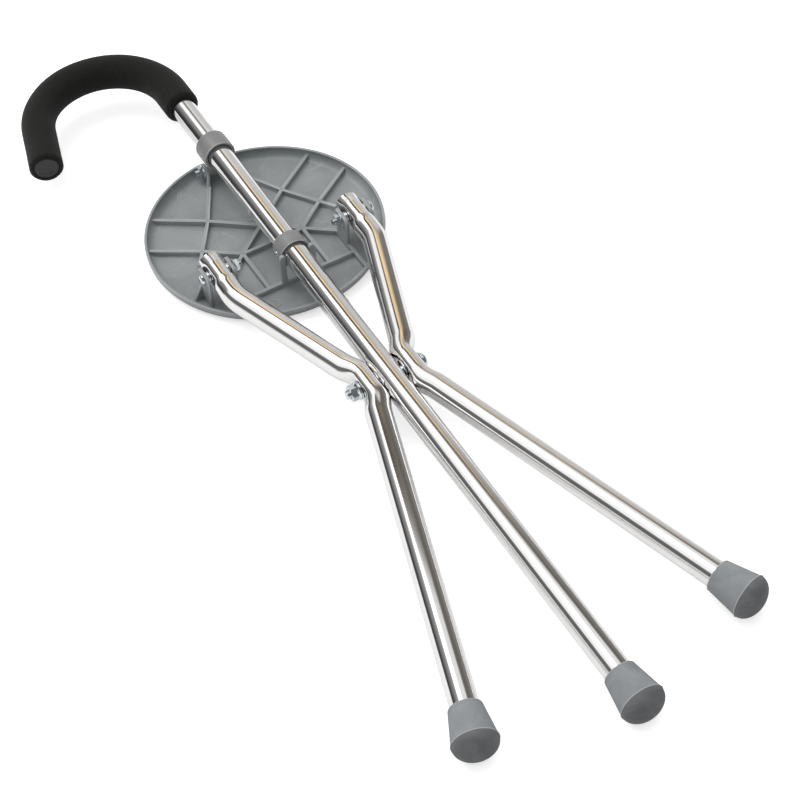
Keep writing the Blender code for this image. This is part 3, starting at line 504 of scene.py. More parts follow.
def crook_plug():
    """Plug flush in the open end of the crook, with a soft rounded edge and a shallow round dish."""
    _, headings, centres = crook_path(GRIP_START, PLUG_RECESS)
    heading = headings[-1]
    axis = np.array([math.cos(heading), math.sin(heading), 0.0]) @ CANE_AXES
    stem = TUBE_RADIUS - TUBE_WALL - GAP
    flange = TUBE_RADIUS + GAP / 2.0
    edge = PLUG_EDGE
    dish = 0.6 * flange
    profile = joined((-PLUG_STEM, 0.0), (-PLUG_STEM, stem), (-PLUG_FLANGE, stem), (-PLUG_FLANGE, flange),
                     arc((-edge, flange - edge), edge, 90.0, 0.0, 5), (0.0, dish + edge),
                     (-0.15 * MM, dish + 0.3 * edge), (-PLUG_DISH, dish), (-PLUG_DISH, 0.0))
    return turned("crook_plug", profile, 64, axis, to_world((*centres[-1], 0.0)))


def leg_path(spacing=2.0 * MM):
    """Centre line of the right leg from its foot to its top.

    The heading is constant on the three straight runs and turns evenly over the two arcs between them.
    """
    lower, upper = math.atan(LEG_LOWER_SLOPE), math.atan(LEG_UPPER_SLOPE)
    middle = (lower + upper) / 2.0
    waist_x = LEG_WAIST_X - LEG_BEND_RADIUS * (1.0 / math.cos(middle) - 1.0)
    waist_setback = LEG_BEND_RADIUS * math.tan(middle)
    top_setback = LEG_BEND_RADIUS * math.tan(upper / 2.0)
    upper_run = math.hypot(LEG_TOP_X - waist_x, (LEG_TOP_X - waist_x) / LEG_UPPER_SLOPE)
    top_run = LEG_TOP - (LEG_TOP_X - waist_x) / LEG_UPPER_SLOPE
    first_turn = LEG_LENGTH - waist_setback
    second_turn = first_turn + LEG_BEND_RADIUS * (lower + upper) + upper_run - waist_setback - top_setback
    total = second_turn + LEG_BEND_RADIUS * upper + top_run - top_setback
    lengths = np.linspace(0.0, total, int(total / spacing) + 1)
    lengths = np.insert(lengths, -1, total - TUBE_LIP)
    out = np.clip((lengths - first_turn) / (LEG_BEND_RADIUS * (lower + upper)), 0.0, 1.0)
    back = np.clip((lengths - second_turn) / (LEG_BEND_RADIUS * upper), 0.0, 1.0)
    headings = math.pi / 2.0 + lower - (lower + upper) * out + upper * back
    foot = (waist_x + LEG_LENGTH * math.sin(lower), -LEG_LENGTH * math.cos(lower))
    return headings, path_along(lengths, headings, foot)


def leg_tube(word, side):
    """Side leg: a round tube whose sides are pressed flat at its waist and round its hinge screw.

    Each press mark deepens by a smooth step at either end, and past the screw the tube comes back to nearly
    its full width.
    """
    headings, centres = leg_path()
    x, y = centres.T
    waist = 1.0 - smooth_step(np.abs(y), LEG_WAIST_FLAT, LEG_WAIST_END)
    top = smooth_step(y, LEG_TOP_FLAT - LEG_TOP_FLATTENING, LEG_TOP_FLAT)
    end = smooth_step(y, LEG_END_START, LEG_END_FULL)
    press = waist / LEG_WAIST + top * ((1.0 - end) / LEG_TOP_WIDTH + end / LEG_END_WIDTH)
    high = TUBE_RADIUS + (LEG_WAIST_HEIGHT - TUBE_RADIUS) * waist
    high += (LEG_TOP_HEIGHT - TUBE_RADIUS) * top * (1.0 - end)
    x = x + (LEG_WAIST_X - x) * waist
    lean = (math.pi / 2.0 - headings) * (1.0 - waist)
    centres = np.stack([side * x, y], axis=1)
    headings = math.pi / 2.0 - side * lean
    lip = np.where(np.arange(len(y)) == len(y) - 1, TUBE_LIP, 0.0)
    wall = TUBE_WALL - lip
    outer = tube_rings(centres, headings, TUBE_RADIUS - lip, high - lip, press)
    inner = tube_rings(centres, headings, TUBE_RADIUS - wall, high - wall, press / (1.0 - press * wall))
    holes = [drill(PIVOT_BOLT_RADIUS, PIVOT, LEG_TOP_X), drill(HINGE_SCREW_RADIUS, HINGE, 2.0 * LEG_TOP_X)]
    return combined(pipe(word + "_leg_tube", outer, inner), holes, "DIFFERENCE")


def rubber_tip(word, end, down):
    """Rubber tip: a flared cone with a thin raised lip at its widest, closed by an ellipse's quarter."""
    dome_start = TIP_SHOULDER + 2.0 * TIP_LIP
    dome_radius = TIP_RADIUS - TIP_LIP
    quarter = sweep(90.0, 0.0, 24)
    dome = np.stack([dome_start + (TIP_LENGTH - dome_start) * np.sin(quarter),
                     dome_radius * np.cos(quarter)], axis=1)
    lip = arc((TIP_SHOULDER + TIP_LIP, TIP_RADIUS - TIP_LIP), TIP_LIP, 0.0, 180.0, 8)
    socket = TUBE_RADIUS + GAP
    mouth = arc((TIP_EDGE, TIP_TOP_RADIUS - TIP_EDGE), TIP_EDGE, 90.0, 180.0, 5)
    profile = joined(dome, lip, mouth, (0.0, socket), (TIP_SLEEVE, socket), (TIP_SLEEVE, 0.0))
    start = to_world(np.asarray(end) + np.asarray(down) * (GAP - TIP_SLEEVE))
    return turned(word + "_rubber_tip", profile, 72, np.asarray(down) @ CANE_AXES, start)


# Fasteners

def hexagon(radius, sides):
    """Radius of a hexagon's outline at each angle: its flat's distance over the cosine from that flat."""
    return radius * math.cos(math.pi / 6.0) / np.cos(turns(sides) % (math.pi / 3.0) - math.pi / 6.0)


def hex_nut(name, radius, bolt_radius, height, outward, seat, place):
    """Flanged nut. Its radius at each height is the greater of the flange's cone and of the lesser of a
    hexagon, turned by 15 degrees, and the cone that chamfers it. The seat is how far from the place its
    flange stands.
    """
    sides = 96
    corners = np.roll(hexagon(radius, sides), sides // 24)
    share = np.array([0.0, 0.03, 0.12, 0.15, 0.20, 0.26, 0.32, 0.4, 0.6, 0.8, 0.88, 0.92, 0.95, 0.98, 1.0])
    flange = radius * (NUT_FLANGE - NUT_FLANGE_SLOPE * np.maximum(share - NUT_FLANGE_RISE, 0.0))
    flange[0] -= 0.02 * radius
    chamfer = NUT_CHAMFER_START * radius + (1.0 - share) * height / math.tan(NUT_CHAMFER)
    radii = np.maximum(np.minimum(corners[None], chamfer[:, None]),
                       np.where(share < NUT_FLANGE_END, flange, 0.0)[:, None])
    bore = np.full((1, sides), bolt_radius + GAP)
    heights = np.concatenate([[0.0], share * height, [height, height - THREAD_DEPTH]])
    radii = np.concatenate([bore, radii, bore + THREAD_DEPTH, bore])
    start = np.asarray(place) + ACROSS * outward * seat
    return loft(name, spun(heights, radii, sides, ACROSS * outward, start), loop=True, angle=20.0)


def button_screw(name, radius, shank, outward, head_height, head_radius, start):
    """Button-head screw with a hexagon socket, and a thread whose radius falls from crest to root and back
    once a pitch, shifted evenly round the screw.
    """
    sides = 48
    turn = turns(sides)[None, :]
    reach = SCREW_TAIL + THREAD_RUN_OUT
    heights = np.arange(THREAD_START, reach, THREAD_PITCH / 8.0)[:, None]
    phase = (heights / THREAD_PITCH - turn / (2.0 * math.pi)) % 1.0
    thread = radius - THREAD_DEPTH * np.abs(2.0 * phase - 1.0)
    dome = sweep(0.0, HEAD_DOME, 12)
    rim = HEAD_RIM * head_height
    dome_height = rim + (head_height - rim) * np.sin(dome) / math.sin(dome[-1])
    dome_radius = head_radius * np.cos(dome)
    socket = SOCKET_WIDTH * head_radius
    tail = np.array([(0.0, 0.0), (0.0, radius - TAIL_CHAMFER), (THREAD_DEPTH, radius - THREAD_DEPTH)])
    after = joined((reach, radius), (shank, radius), (shank, head_radius - HEAD_EDGE),
                   (shank + HEAD_EDGE, head_radius), np.stack([shank + dome_height, dome_radius], axis=1),
                   (shank + head_height, socket * SOCKET_MOUTH))
    floor = shank + SOCKET_FLOOR * head_height
    inside = hexagon(socket, sides)
    rows = np.concatenate([tail[:, 0], heights[:, 0], after[:, 0],
                           [shank + head_height - SOCKET_EDGE, floor, floor]])
    radii = np.concatenate([np.repeat(tail[:, 1:], sides, axis=1), thread,
                            np.repeat(after[:, 1:], sides, axis=1), [inside, inside, np.zeros(sides)]])
    return loft(name, spun(rows - shank, radii, sides, ACROSS * outward, start), angle=30.0)


def washer(name, radius, bore, begin, end, place):
    """Washer across the cane between two X distances, with its edges rounded."""
    edge = min(WASHER_EDGE, abs(end - begin) / 3.0)
    step = edge * np.sign(end - begin)
    profile = [(begin, bore), (begin, radius - edge), (begin + 0.3 * step, radius - 0.3 * edge),
               (begin + step, radius), (end - step, radius), (end - 0.3 * step, radius - 0.3 * edge),
               (end, radius - edge), (end, bore)]
    return turned(name, profile, 64, ACROSS, place, loop=True)


def stop_pin():
    """Rivet through the stop collar: each head is an ellipse's quarter that stands on the collar."""
    quarter = sweep(0.0, 90.0, 9)
    head = STOP_RADIUS + STOP_PIN_HEAD * np.sin(quarter)
    high = joined((STOP_RADIUS - GAP, STOP_PIN_RADIUS), (STOP_RADIUS - GAP, STOP_PIN_HEAD_RADIUS),
                  np.stack([head, STOP_PIN_HEAD_RADIUS * np.cos(quarter)], axis=1))
    return turned("stop_pin_rivet", joined(high[::-1] * (-1.0, 1.0), high), 40, ACROSS, STOP_PIN_PLACE)


# Collars

def stop_ring():
    """Fixed collar: a ring with rounded edges, a chamfered bore on its foot side and a hole for its pin."""
    bore = TUBE_RADIUS + GAP
    edge = STOP_EDGE
    profile = joined((0.0, bore + BORE_CHAMFER),
                     arc((edge, STOP_RADIUS - edge), edge, 180.0, 90.0, 5),
                     arc((STOP_HEIGHT - edge, STOP_RADIUS - edge), edge, 90.0, 0.0, 5),
                     (STOP_HEIGHT, bore), (BORE_CHAMFER, bore))
    start = to_world((0.0, STOP_FOOT, 0.0))
    ring = turned("stop_ring", profile, COLLAR_SIDES, ALONG, start, loop=True)
    return combined(ring, [drill(STOP_PIN_RADIUS, STOP_PIN_PLACE, 2.0 * STOP_RADIUS)], "DIFFERENCE")


def slide_ring():
    """Sliding collar: a ring with a wide rounding on the handle side and a lip on the foot side, with the
    hook below it, and a bore flared on the foot side.
    """
    edge, lip = COLLAR_EDGE, COLLAR_LIP
    profile = joined((0.0, 0.0), arc((lip, COLLAR_RADIUS - lip), lip, 180.0, 90.0, 5),
                     arc((COLLAR_HEIGHT - edge, COLLAR_RADIUS - edge), edge, 90.0, 0.0, 8),
                     (COLLAR_HEIGHT, 0.0))
    start = to_world((0.0, COLLAR_FOOT, 0.0))
    ring = combined(turned("slide_ring", profile, COLLAR_SIDES, ALONG, start), [collar_hook()], "UNION")
    bore = TUBE_RADIUS + SLIDE_GAP
    low, high = -BORE_CHAMFER, COLLAR_HEIGHT + BORE_CHAMFER
    reamer = [(low, 0.0), (low, bore + 2.0 * BORE_CHAMFER), (BORE_CHAMFER, bore), (high, bore), (high, 0.0)]
    return combined(ring, [turned("reamer", reamer, COLLAR_SIDES, ALONG, start)], "DIFFERENCE")


def collar_hook():
    """Hook round the collar hinge screw, open towards the handle."""
    eye = HINGE_SCREW_RADIUS + GAP
    root = -COLLAR_RADIUS / 3.0
    inside = COLLAR_HINGE_Y - eye
    bottom = COLLAR_HINGE_Z - eye - HOOK_LIP
    reach = COLLAR_HINGE_Y + HOOK_REACH
    outline = joined((inside - HOOK_BACK, root),
                     arc((inside, bottom + HOOK_BACK), HOOK_BACK, 180.0, 270.0, 12),
                     (reach, bottom), (reach, bottom + HOOK_LIP),
                     arc((COLLAR_HINGE_Y, COLLAR_HINGE_Z), eye, 270.0, 180.0, 12), (inside, root))
    half = COLLAR_LUG_FACE - GAP
    return plate("hook", outline, -half, half, LUG_EDGE, 0, to_world)


# Seat, in world coordinates

def seat_shell():
    """Dish: its outline goes out under the flat face, round the rolled edge, past a shallow groove, over the
    lip and back along the floor, and turns round the seat's axis.
    """
    flat = SEAT_RADIUS - SEAT_EDGE_RADIUS
    hollow = SEAT_EDGE_RADIUS - 0.9 * SEAT_WALL
    groove = [(SEAT_RADIUS, RIM_GROOVE_Z - RIM_GROOVE), (SEAT_RADIUS - RIM_GROOVE, RIM_GROOVE_Z),
              (SEAT_RADIUS, RIM_GROOVE_Z + RIM_GROOVE)]
    inner = SEAT_RADIUS - SEAT_WALL
    outline = joined((0.0, 0.0), arc((flat, SEAT_EDGE_RADIUS), SEAT_EDGE_RADIUS, 270.0, 360.0, 16), groove,
                     arc((SEAT_RADIUS - SEAT_LIP, SEAT_HEIGHT - SEAT_LIP), SEAT_LIP, 0.0, 90.0, 5),
                     arc((inner + SEAT_LIP, SEAT_HEIGHT - SEAT_LIP), SEAT_LIP, 90.0, 180.0, 5),
                     arc((inner - hollow, SEAT_FLOOR + hollow), hollow, 360.0, 270.0, 16),
                     (0.6 * SEAT_RADIUS, SEAT_FLOOR), (0.0, SEAT_FLOOR))
    return turned("seat_moulding", outline[:, ::-1], SEAT_SIDES, UPRIGHT, FLOOR_CENTRE,
                  angle=SEAT_SHARP_ANGLE)


def seat_envelope():
    """What ribs and lugs are trimmed to: the shell's outer form less half its wall, carried upwards."""
    skin = SEAT_WALL / 2.0
    flat = SEAT_RADIUS - SEAT_EDGE_RADIUS
    outline = joined((0.0, skin), arc((flat, SEAT_EDGE_RADIUS), SEAT_EDGE_RADIUS - skin, 270.0, 360.0, 12),
                     (SEAT_RADIUS - skin, FITTINGS_TOP), (0.0, FITTINGS_TOP))
    return turned("envelope", outline[:, ::-1], SEAT_SIDES, UPRIGHT, FLOOR_CENTRE)


def rib(start, end):
    """Rib: its section has a fillet at the foot, a little draft and a rounded top, and is carried straight
    from one point of the plan to another.
    """
    a, b = np.asarray(start), np.asarray(end)
    run = (b - a) / np.linalg.norm(b - a)
    a, b = a - run * RIB_WIDTH / 2.0, b + run * RIB_WIDTH / 2.0
    foot = RIB_WIDTH / 2.0 + RIB_DRAFT + RIB_FILLET
    top = RIB_WIDTH / 2.0 - RIB_EDGE
    sunk = 0.03 * MM
    half = joined((foot, FITTING_FOOT),
                  arc((foot, SEAT_FLOOR + RIB_FILLET - sunk), RIB_FILLET, 270.0, 180.0, 5),
                  arc((top, RIB_HEIGHT - RIB_EDGE), RIB_EDGE, 0.0, 90.0, 4))
    section = joined(half, half[::-1] * (-1.0, 1.0))
    side = np.array([-run[1], run[0]])
    flat = np.stack([a, b])[:, None] + section[None, :, :1] * side
    rings = np.concatenate([flat, np.broadcast_to(section[None, :, 1:], (2, len(section), 1))], axis=2)
    return loft("rib", rings, caps=True)


def rim_point(start, slope):
    """Where a line leaves the seat's rim, from a point and with a slope in plan."""
    run = np.array([1.0, slope]) / math.hypot(1.0, slope)
    a = np.asarray(start)
    return a + run * (-a @ run + math.sqrt((a @ run) ** 2 - a @ a + SEAT_RADIUS ** 2))


def rib_lines():
    """Start and end points of the ribs on the right half, then of those across the middle."""
    lug_x = INNER_LUG_FACE - LUG_THICKNESS / 2.0
    slope = (RIB_CORNER[1] - RIB_KNOT[1]) / (RIB_CORNER[0] + RIB_KNOT[0])
    far = RIB_KNOT[1] + slope * (lug_x + RIB_KNOT[0])
    side_slope = (RIB_SIDE_KNOT[1] - RIB_KNOT[1]) / (RIB_SIDE_KNOT[0] - RIB_KNOT[0])
    collar_lug_x = COLLAR_LUG_FACE + COLLAR_LUG_THICKNESS / 2.0 + COLLAR_LUG_SPLAY
    half = [
        (rim_point(RIB_KNOT, RIB_RIM_TURN), RIB_KNOT),
        ((-RIB_KNOT[0], RIB_KNOT[1]), (lug_x, far)),
        (rim_point(RIB_SIDE_KNOT, RIB_SIDE_TURN), RIB_SIDE_KNOT),
        (RIB_SIDE_KNOT, RIB_CORNER),
        ((collar_lug_x, COLLAR_HINGE[1] - COLLAR_LUG_FOOT), RIB_KNOT),
        (RIB_KNOT, (LEG_TOP_X, RIB_KNOT[1] + side_slope * (LEG_TOP_X - RIB_KNOT[0]))),
        (RIB_CORNER, (RIB_CORNER[0], CLIP_RIB_Y)),
        ((lug_x, far), (lug_x, -SEAT_RADIUS * math.sqrt(1.0 - (lug_x / SEAT_RADIUS) ** 2))),
    ]
    return half, [((-RIB_CORNER[0], RIB_CORNER[1]), RIB_CORNER), ((-lug_x, CLIP_RIB_Y), (lug_x, CLIP_RIB_Y))]


def boss():
    """Round boss with a blind hole, rounded round its top."""
    edge = RIB_EDGE
    outline = joined((0.0, FITTING_FOOT), (BOSS_RADIUS, FITTING_FOOT),
                     arc((BOSS_RADIUS - edge, RIB_HEIGHT - edge), edge, 0.0, 90.0, 4),
                     (BOSS_BORE + 0.5 * edge, RIB_HEIGHT), (BOSS_BORE, RIB_HEIGHT - 0.5 * edge),
                     (BOSS_BORE, RIB_HEIGHT - BOSS_BORE_DEPTH), (0.0, RIB_HEIGHT - BOSS_BORE_DEPTH))
    return turned("boss", outline[:, ::-1], 48, UPRIGHT, FLOOR_CENTRE + (*BOSS_PLACE, 0.0))


def leg_lug(hinge, near, far):
    """Upright plate beside a leg's upper end, flat on top and rounded most at its foot side."""
    y, z = hinge
    top = z + LUG_TOP
    back = (y + LUG_BACK - LUG_BACK_ROUNDING, top - LUG_BACK_ROUNDING)
    front = (y - LUG_FRONT + LUG_FRONT_ROUNDING, top - LUG_FRONT_ROUNDING)
    outline = joined((y + LUG_BACK, FITTING_FOOT), arc(back, LUG_BACK_ROUNDING, 0.0, 90.0, 8),
                     arc(front, LUG_FRONT_ROUNDING, 90.0, 180.0, 14), (y - LUG_FOOT, FITTING_FOOT))
    return plate("leg_lug", outline, near, far, LUG_EDGE, 0)


def collar_lug(side):
    """Rim lug: its top follows a circle round the screw and then falls straight to the rib, and it leans
    outwards towards its foot by a smooth step.
    """
    y, z = COLLAR_HINGE[1:]
    foot = y - COLLAR_LUG_FOOT
    turn = sweep(0.0, COLLAR_LUG_TURN, 30)
    places = y + COLLAR_LUG_RADIUS * np.cos(turn)
    tops = z + COLLAR_LUG_RADIUS * np.sin(turn)
    fall = np.linspace(0.0, 1.0, 18)[1:]
    places = np.concatenate([places, places[-1] + (foot - places[-1]) * fall])
    tops = np.concatenate([tops, tops[-1] + (RIB_HEIGHT - GAP - tops[-1]) * fall])
    middle = COLLAR_LUG_FACE + COLLAR_LUG_THICKNESS / 2.0
    middle = middle + COLLAR_LUG_SPLAY * smooth_step(y - places, COLLAR_LUG_BEND, COLLAR_LUG_FOOT)
    back = np.clip((places - (y + COLLAR_LUG_RADIUS - LUG_EDGE)) / LUG_EDGE, 0.0, 1.0)
    half = COLLAR_LUG_THICKNESS / 2.0 - LUG_EDGE * (1.0 - np.sqrt(1.0 - back[:, None] ** 2))
    corner = sweep(0.0, 90.0, 5)
    below = LUG_EDGE * (1.0 - np.sin(corner))
    inset = LUG_EDGE * (1.0 - np.cos(corner))
    across = np.concatenate([half, half - inset, inset[::-1] - half, -half], axis=1)
    upper = tops[:, None] - np.concatenate([below, below[::-1]])
    foot_row = np.full((len(places), 1), FITTING_FOOT)
    heights = np.concatenate([foot_row, upper, foot_row], axis=1)
    spots = np.broadcast_to(places[:, None], heights.shape)
    rings = np.stack([side * (middle[:, None] + across), spots, heights], axis=-1)
    return loft("collar_lug", rings, caps=True)


def gusset(side):
    """Triangle that props an outer lug."""
    outer = side * (OUTER_LUG_FACE + LUG_THICKNESS)
    inside = outer - side * LUG_THICKNESS / 2.0
    reach = outer + side * GUSSET_REACH
    y = HINGE[1] + LUG_BACK - RIB_WIDTH - GAP
    outline = joined((inside, FITTING_FOOT), (reach, FITTING_FOOT), (reach, SEAT_FLOOR),
                     (outer, GUSSET_HEIGHT), (inside, GUSSET_HEIGHT))
    return plate("gusset", outline, y, y + RIB_WIDTH, RIB_EDGE, 1)


def clip_prong(side):
    """One of the clip's two prongs: upright beside the cane tube, then round it as far as a round tip."""
    inner = TUBE_RADIUS + SLIDE_GAP
    outer = inner + CLIP_WIDTH
    axis = (0.0, to_world((0.0, SEAT_CENTRE_Y + CLIP_RIB_Y, 0.0))[2])
    wrap = math.radians(CLIP_WRAP)
    middle = (inner + outer) / 2.0
    tip = (middle * math.cos(wrap), axis[1] + middle * math.sin(wrap))
    outline = joined((outer, FITTING_FOOT), arc(axis, outer, 0.0, CLIP_WRAP, 10)[:-1],
                     arc(tip, CLIP_WIDTH / 2.0, CLIP_WRAP, CLIP_WRAP + 180.0, 16),
                     arc(axis, inner, CLIP_WRAP, 0.0, 10)[1:], (inner, FITTING_FOOT))
    half = CLIP_THICKNESS / 2.0
    return plate("prong", outline * (side, 1.0), CLIP_RIB_Y - half, CLIP_RIB_Y + half, CLIP_BEAD, 1)


def floor_ring(x, y, radius):
    """Low ring that a moulding gate or an ejector leaves on the seat's floor."""
    top = SEAT_FLOOR + FLOOR_RING_HEIGHT
    inner = radius - FLOOR_RING_WIDTH
    profile = [(FITTING_FOOT, inner), (FITTING_FOOT, radius), (SEAT_FLOOR, radius),
               (top, radius - 0.3 * FLOOR_RING_WIDTH), (top, radius - 0.7 * FLOOR_RING_WIDTH),
               (SEAT_FLOOR, inner)]
    return turned("floor_ring", profile, 48, UPRIGHT, FLOOR_CENTRE + (x, y, 0.0), loop=True)


def seat_moulding():
    """Seat in one piece: dish, ribs, boss, lugs and clip, notched under the collar and drilled."""
    half, middle = rib_lines()
    tools = [rib(start, end) for start, end in middle + half]
    tools += [rib((-start[0], start[1]), (-end[0], end[1])) for start, end in half]
    tools += [floor_ring(*place) for place in FLOOR_RINGS]
    for side, _ in SIDES:
        tools.append(leg_lug(HINGE[1:], side * (INNER_LUG_FACE - LUG_THICKNESS), side * INNER_LUG_FACE))
        tools.append(leg_lug(HINGE[1:], side * OUTER_LUG_FACE, side * (OUTER_LUG_FACE + LUG_THICKNESS)))
        tools += [gusset(side), collar_lug(side), clip_prong(side)]
    fittings = combined(boss(), tools, "UNION")
    combined(fittings, [seat_envelope()], "INTERSECT")
    shell = combined(seat_shell(), [fittings], "UNION")
    notch = np.array([(-COLLAR_LUG_FACE, COLLAR_HINGE[1] + RIM_NOTCH_START),
                      (COLLAR_LUG_FACE, COLLAR_HINGE[1] + RIM_NOTCH_START),
                      (COLLAR_LUG_FACE, 2.0 * SEAT_RADIUS), (-COLLAR_LUG_FACE, 2.0 * SEAT_RADIUS)])
    cutters = [plate("notch", notch, SEAT_FLOOR + RIM_NOTCH_FLOOR, 2.0 * SEAT_HEIGHT, LUG_EDGE, 2),
               drill(HINGE_SCREW_RADIUS, COLLAR_HINGE, 2.0 * COLLAR_LUG_FACE),
               drill(HINGE_SCREW_RADIUS, HINGE, SEAT_RADIUS)]
    return combined(shell, cutters, "DIFFERENCE", angle=SEAT_SHARP_ANGLE)


# Node groups that several finishes share

def node(tree, kind, links=(), **settings):
    """Node with its settings, and its inputs given by name or number as values or as sockets."""
    made = tree.nodes.new("ShaderNode" + kind)
    for setting, value in settings.items():
        setattr(made, setting, value)
    for key, value in dict(links).items():
        if isinstance(value, bpy.types.NodeSocket):
            tree.links.new(value, made.inputs[key])
        else:
            made.inputs[key].default_value = value
    return made


def maths(tree, operation, *values, **settings):
    """What a Math node makes of one to three values."""
    return node(tree, "Math", dict(enumerate(values)), operation=operation, **settings).outputs[0]


def spread(tree, value, low, high, begin=0.0, end=1.0):
    """Value taken from one range to another."""
    return node(tree, "MapRange", {"Value": value, "From Min": begin, "From Max": end,
                                   "To Min": low, "To Max": high}).outputs[0]


def noise(tree, place, scale, detail=1.0, roughness=0.5, distortion=0.0):
    """Noise about its middle value of 0.5."""
    return node(tree, "TexNoise", {"Vector": place, "Scale": scale, "Detail": detail, "Roughness": roughness,
                                   "Distortion": distortion}).outputs["Fac"]


def cloudy_patches(tree, place, scale, contrast):
    """Soft cloudy patches, from a warped noise whose contrast is raised."""
    centred = maths(tree, "SUBTRACT", noise(tree, place, scale, 4.0, 0.55, 0.8), 0.5)
    return maths(tree, "MULTIPLY_ADD", centred, contrast, 0.5, use_clamp=True)


def fine_grain(tree, place, scale):
    """Fine moulded grain, from two sizes of noise."""
    wide = noise(tree, place, maths(tree, "MULTIPLY", scale, 0.23))
    return maths(tree, "ADD", noise(tree, place, scale, 2.0), wide)


def drawn_streaks(tree, surface, around, along):
    """Long thin streaks along the piece's own UV map, from a noise stretched along v."""
    stretch = node(tree, "CombineXYZ", {"X": around, "Y": along}).outputs[0]
    place = node(tree, "VectorMath", {0: surface, 1: stretch}, operation="MULTIPLY").outputs[0]
    return noise(tree, place, 1.0, 3.0, 0.6)


def sparse_scuffs(tree, place, scale):
    """Sparse short scuffs: two slanting stretched noises cut off high, kept where patches allow."""
    cuts = []
    for slant in (0.6, -1.0):
        leaning = node(tree, "Mapping", {"Vector": place, "Rotation": (0.3, 0.2, slant),
                                         "Scale": (1.0, 4.0, 4.0)}).outputs[0]
        cuts.append(spread(tree, noise(tree, leaning, scale, 3.0, 0.65, 1.5), 0.0, 1.0, 0.64, 0.80))
    allowed = spread(tree, noise(tree, place, 35.0), 0.0, 1.0, 0.50, 0.66)
    return maths(tree, "MULTIPLY", maths(tree, "MAXIMUM", *cuts), allowed)


def rubbed_smears(tree, place, scale, width):
    """Curved rubbed smears: where a warped noise passes its middle value, fading over a width on either
    side, kept where patches allow.
    """
    winding = noise(tree, place, scale, 3.0, 0.5, 1.8)
    distance = maths(tree, "ABSOLUTE", maths(tree, "SUBTRACT", winding, 0.5))
    allowed = spread(tree, noise(tree, place, 28.0), 0.0, 1.0, 0.52, 0.70)
    return maths(tree, "MULTIPLY", spread(tree, distance, 1.0, 0.0, 0.0, width), allowed)


def small_cells(tree, place, scale):
    """Closed cells or crumbs: how far each spot is from the middle of its Voronoi cell."""
    return node(tree, "TexVoronoi", {"Vector": place, "Scale": scale}).outputs["Distance"]


def effect(name, recipe, output, **numbers):
    """Node group that takes a vector and named numbers and gives one value, which its recipe works out."""
    tree = bpy.data.node_groups.new(name, "ShaderNodeTree")
    tree.interface.new_socket("Vector", in_out="INPUT", socket_type="NodeSocketVector")
    for label, value in numbers.items():
        socket = tree.interface.new_socket(label, in_out="INPUT", socket_type="NodeSocketFloat")
        socket.default_value = value
    tree.interface.new_socket(output, in_out="OUTPUT", socket_type="NodeSocketFloat")
    given = tree.nodes.new("NodeGroupInput").outputs
    result = recipe(tree, given["Vector"], *(given[label] for label in numbers))
    tree.links.new(result, tree.nodes.new("NodeGroupOutput").inputs[output])
    return tree


CLOUD = effect("cloudy_patches", cloudy_patches, "Mask", Scale=20.0, Contrast=1.5)
GRAIN = effect("fine_grain", fine_grain, "Height", Scale=1500.0)
STREAK = effect("drawn_streaks", drawn_streaks, "Mask", Round=900.0, Along=12.0)
SCUFF = effect("sparse_scuffs", sparse_scuffs, "Mask", Scale=60.0)
SMEAR = effect("rubbed_smears", rubbed_smears, "Mask", Scale=22.0, Width=0.03)
CELLS = effect("small_cells", small_cells, "Mask", Scale=900.0)


# Finishes

def material(name, **plain):
    """Material, its tree and its shader's sockets, on which the plain values are set."""
    made = bpy.data.materials.new(name)
    made.use_nodes = True
    shader = made.node_tree.nodes["Principled BSDF"].inputs
    for label, value in plain.items():
        shader[label.replace("_", " ")].default_value = value
    return made, made.node_tree, shader


def finish(name, looks, **plain):
    """Material whose base colour, roughness and normal are worked out from its texture coordinates."""
    made, tree, shader = material(name, **plain)
    given = looks(tree, node(tree, "TexCoord").outputs)
    for label, value in zip(("Base Color", "Roughness", "Normal"), given):
        tree.links.new(value, shader[label])
    return made


def put(tree, group, place, **numbers):
    """Place a shared effect in a finish and return its one output."""
    return node(tree, "Group", {"Vector": place, **numbers}, node_tree=group).outputs[0]


def mixed(tree, share, first, second):
    """Colour between two colours, by a mask."""
    return node(tree, "Mix", {"Factor": share, 6: first, 7: second}, data_type="RGBA").outputs[2]


def bumped(tree, height, strength, distance, **below):
    """Normal from a height, on top of the normal below it if there is one."""
    return node(tree, "Bump", {"Height": height, "Strength": strength, "Distance": distance,
                               **below}).outputs[0]


def grained(tree, place, scale, strength, distance):
    """Normal of a moulded grain."""
    return bumped(tree, put(tree, GRAIN, place, Scale=scale), strength, distance)


def from_mesh(tree, name):
    """Value that the mesh itself carries at each point."""
    return node(tree, "Attribute", attribute_name=name).outputs["Fac"]


def worn_and_glinting(tree, colour, pale_edge):
    """Colour that goes over to the pale one at sharp edges, where the mesh is worn and where a highlight is
    painted.
    """
    return mixed(tree, spread(tree, from_mesh(tree, "wear_and_glint"), 0.0, 0.6), colour, pale_edge)


def grey(level, warmth=0.0, green=0.0):
    """Linear colour from a grey level of 0 to 255, warmed towards red or turned towards green."""
    steps = np.array([level + warmth, level + green, level - warmth]) / 255.0
    linear = np.where(steps <= 0.04045, steps / 12.92, ((steps + 0.055) / 1.055) ** 2.4)
    return (*linear.tolist(), 1.0)


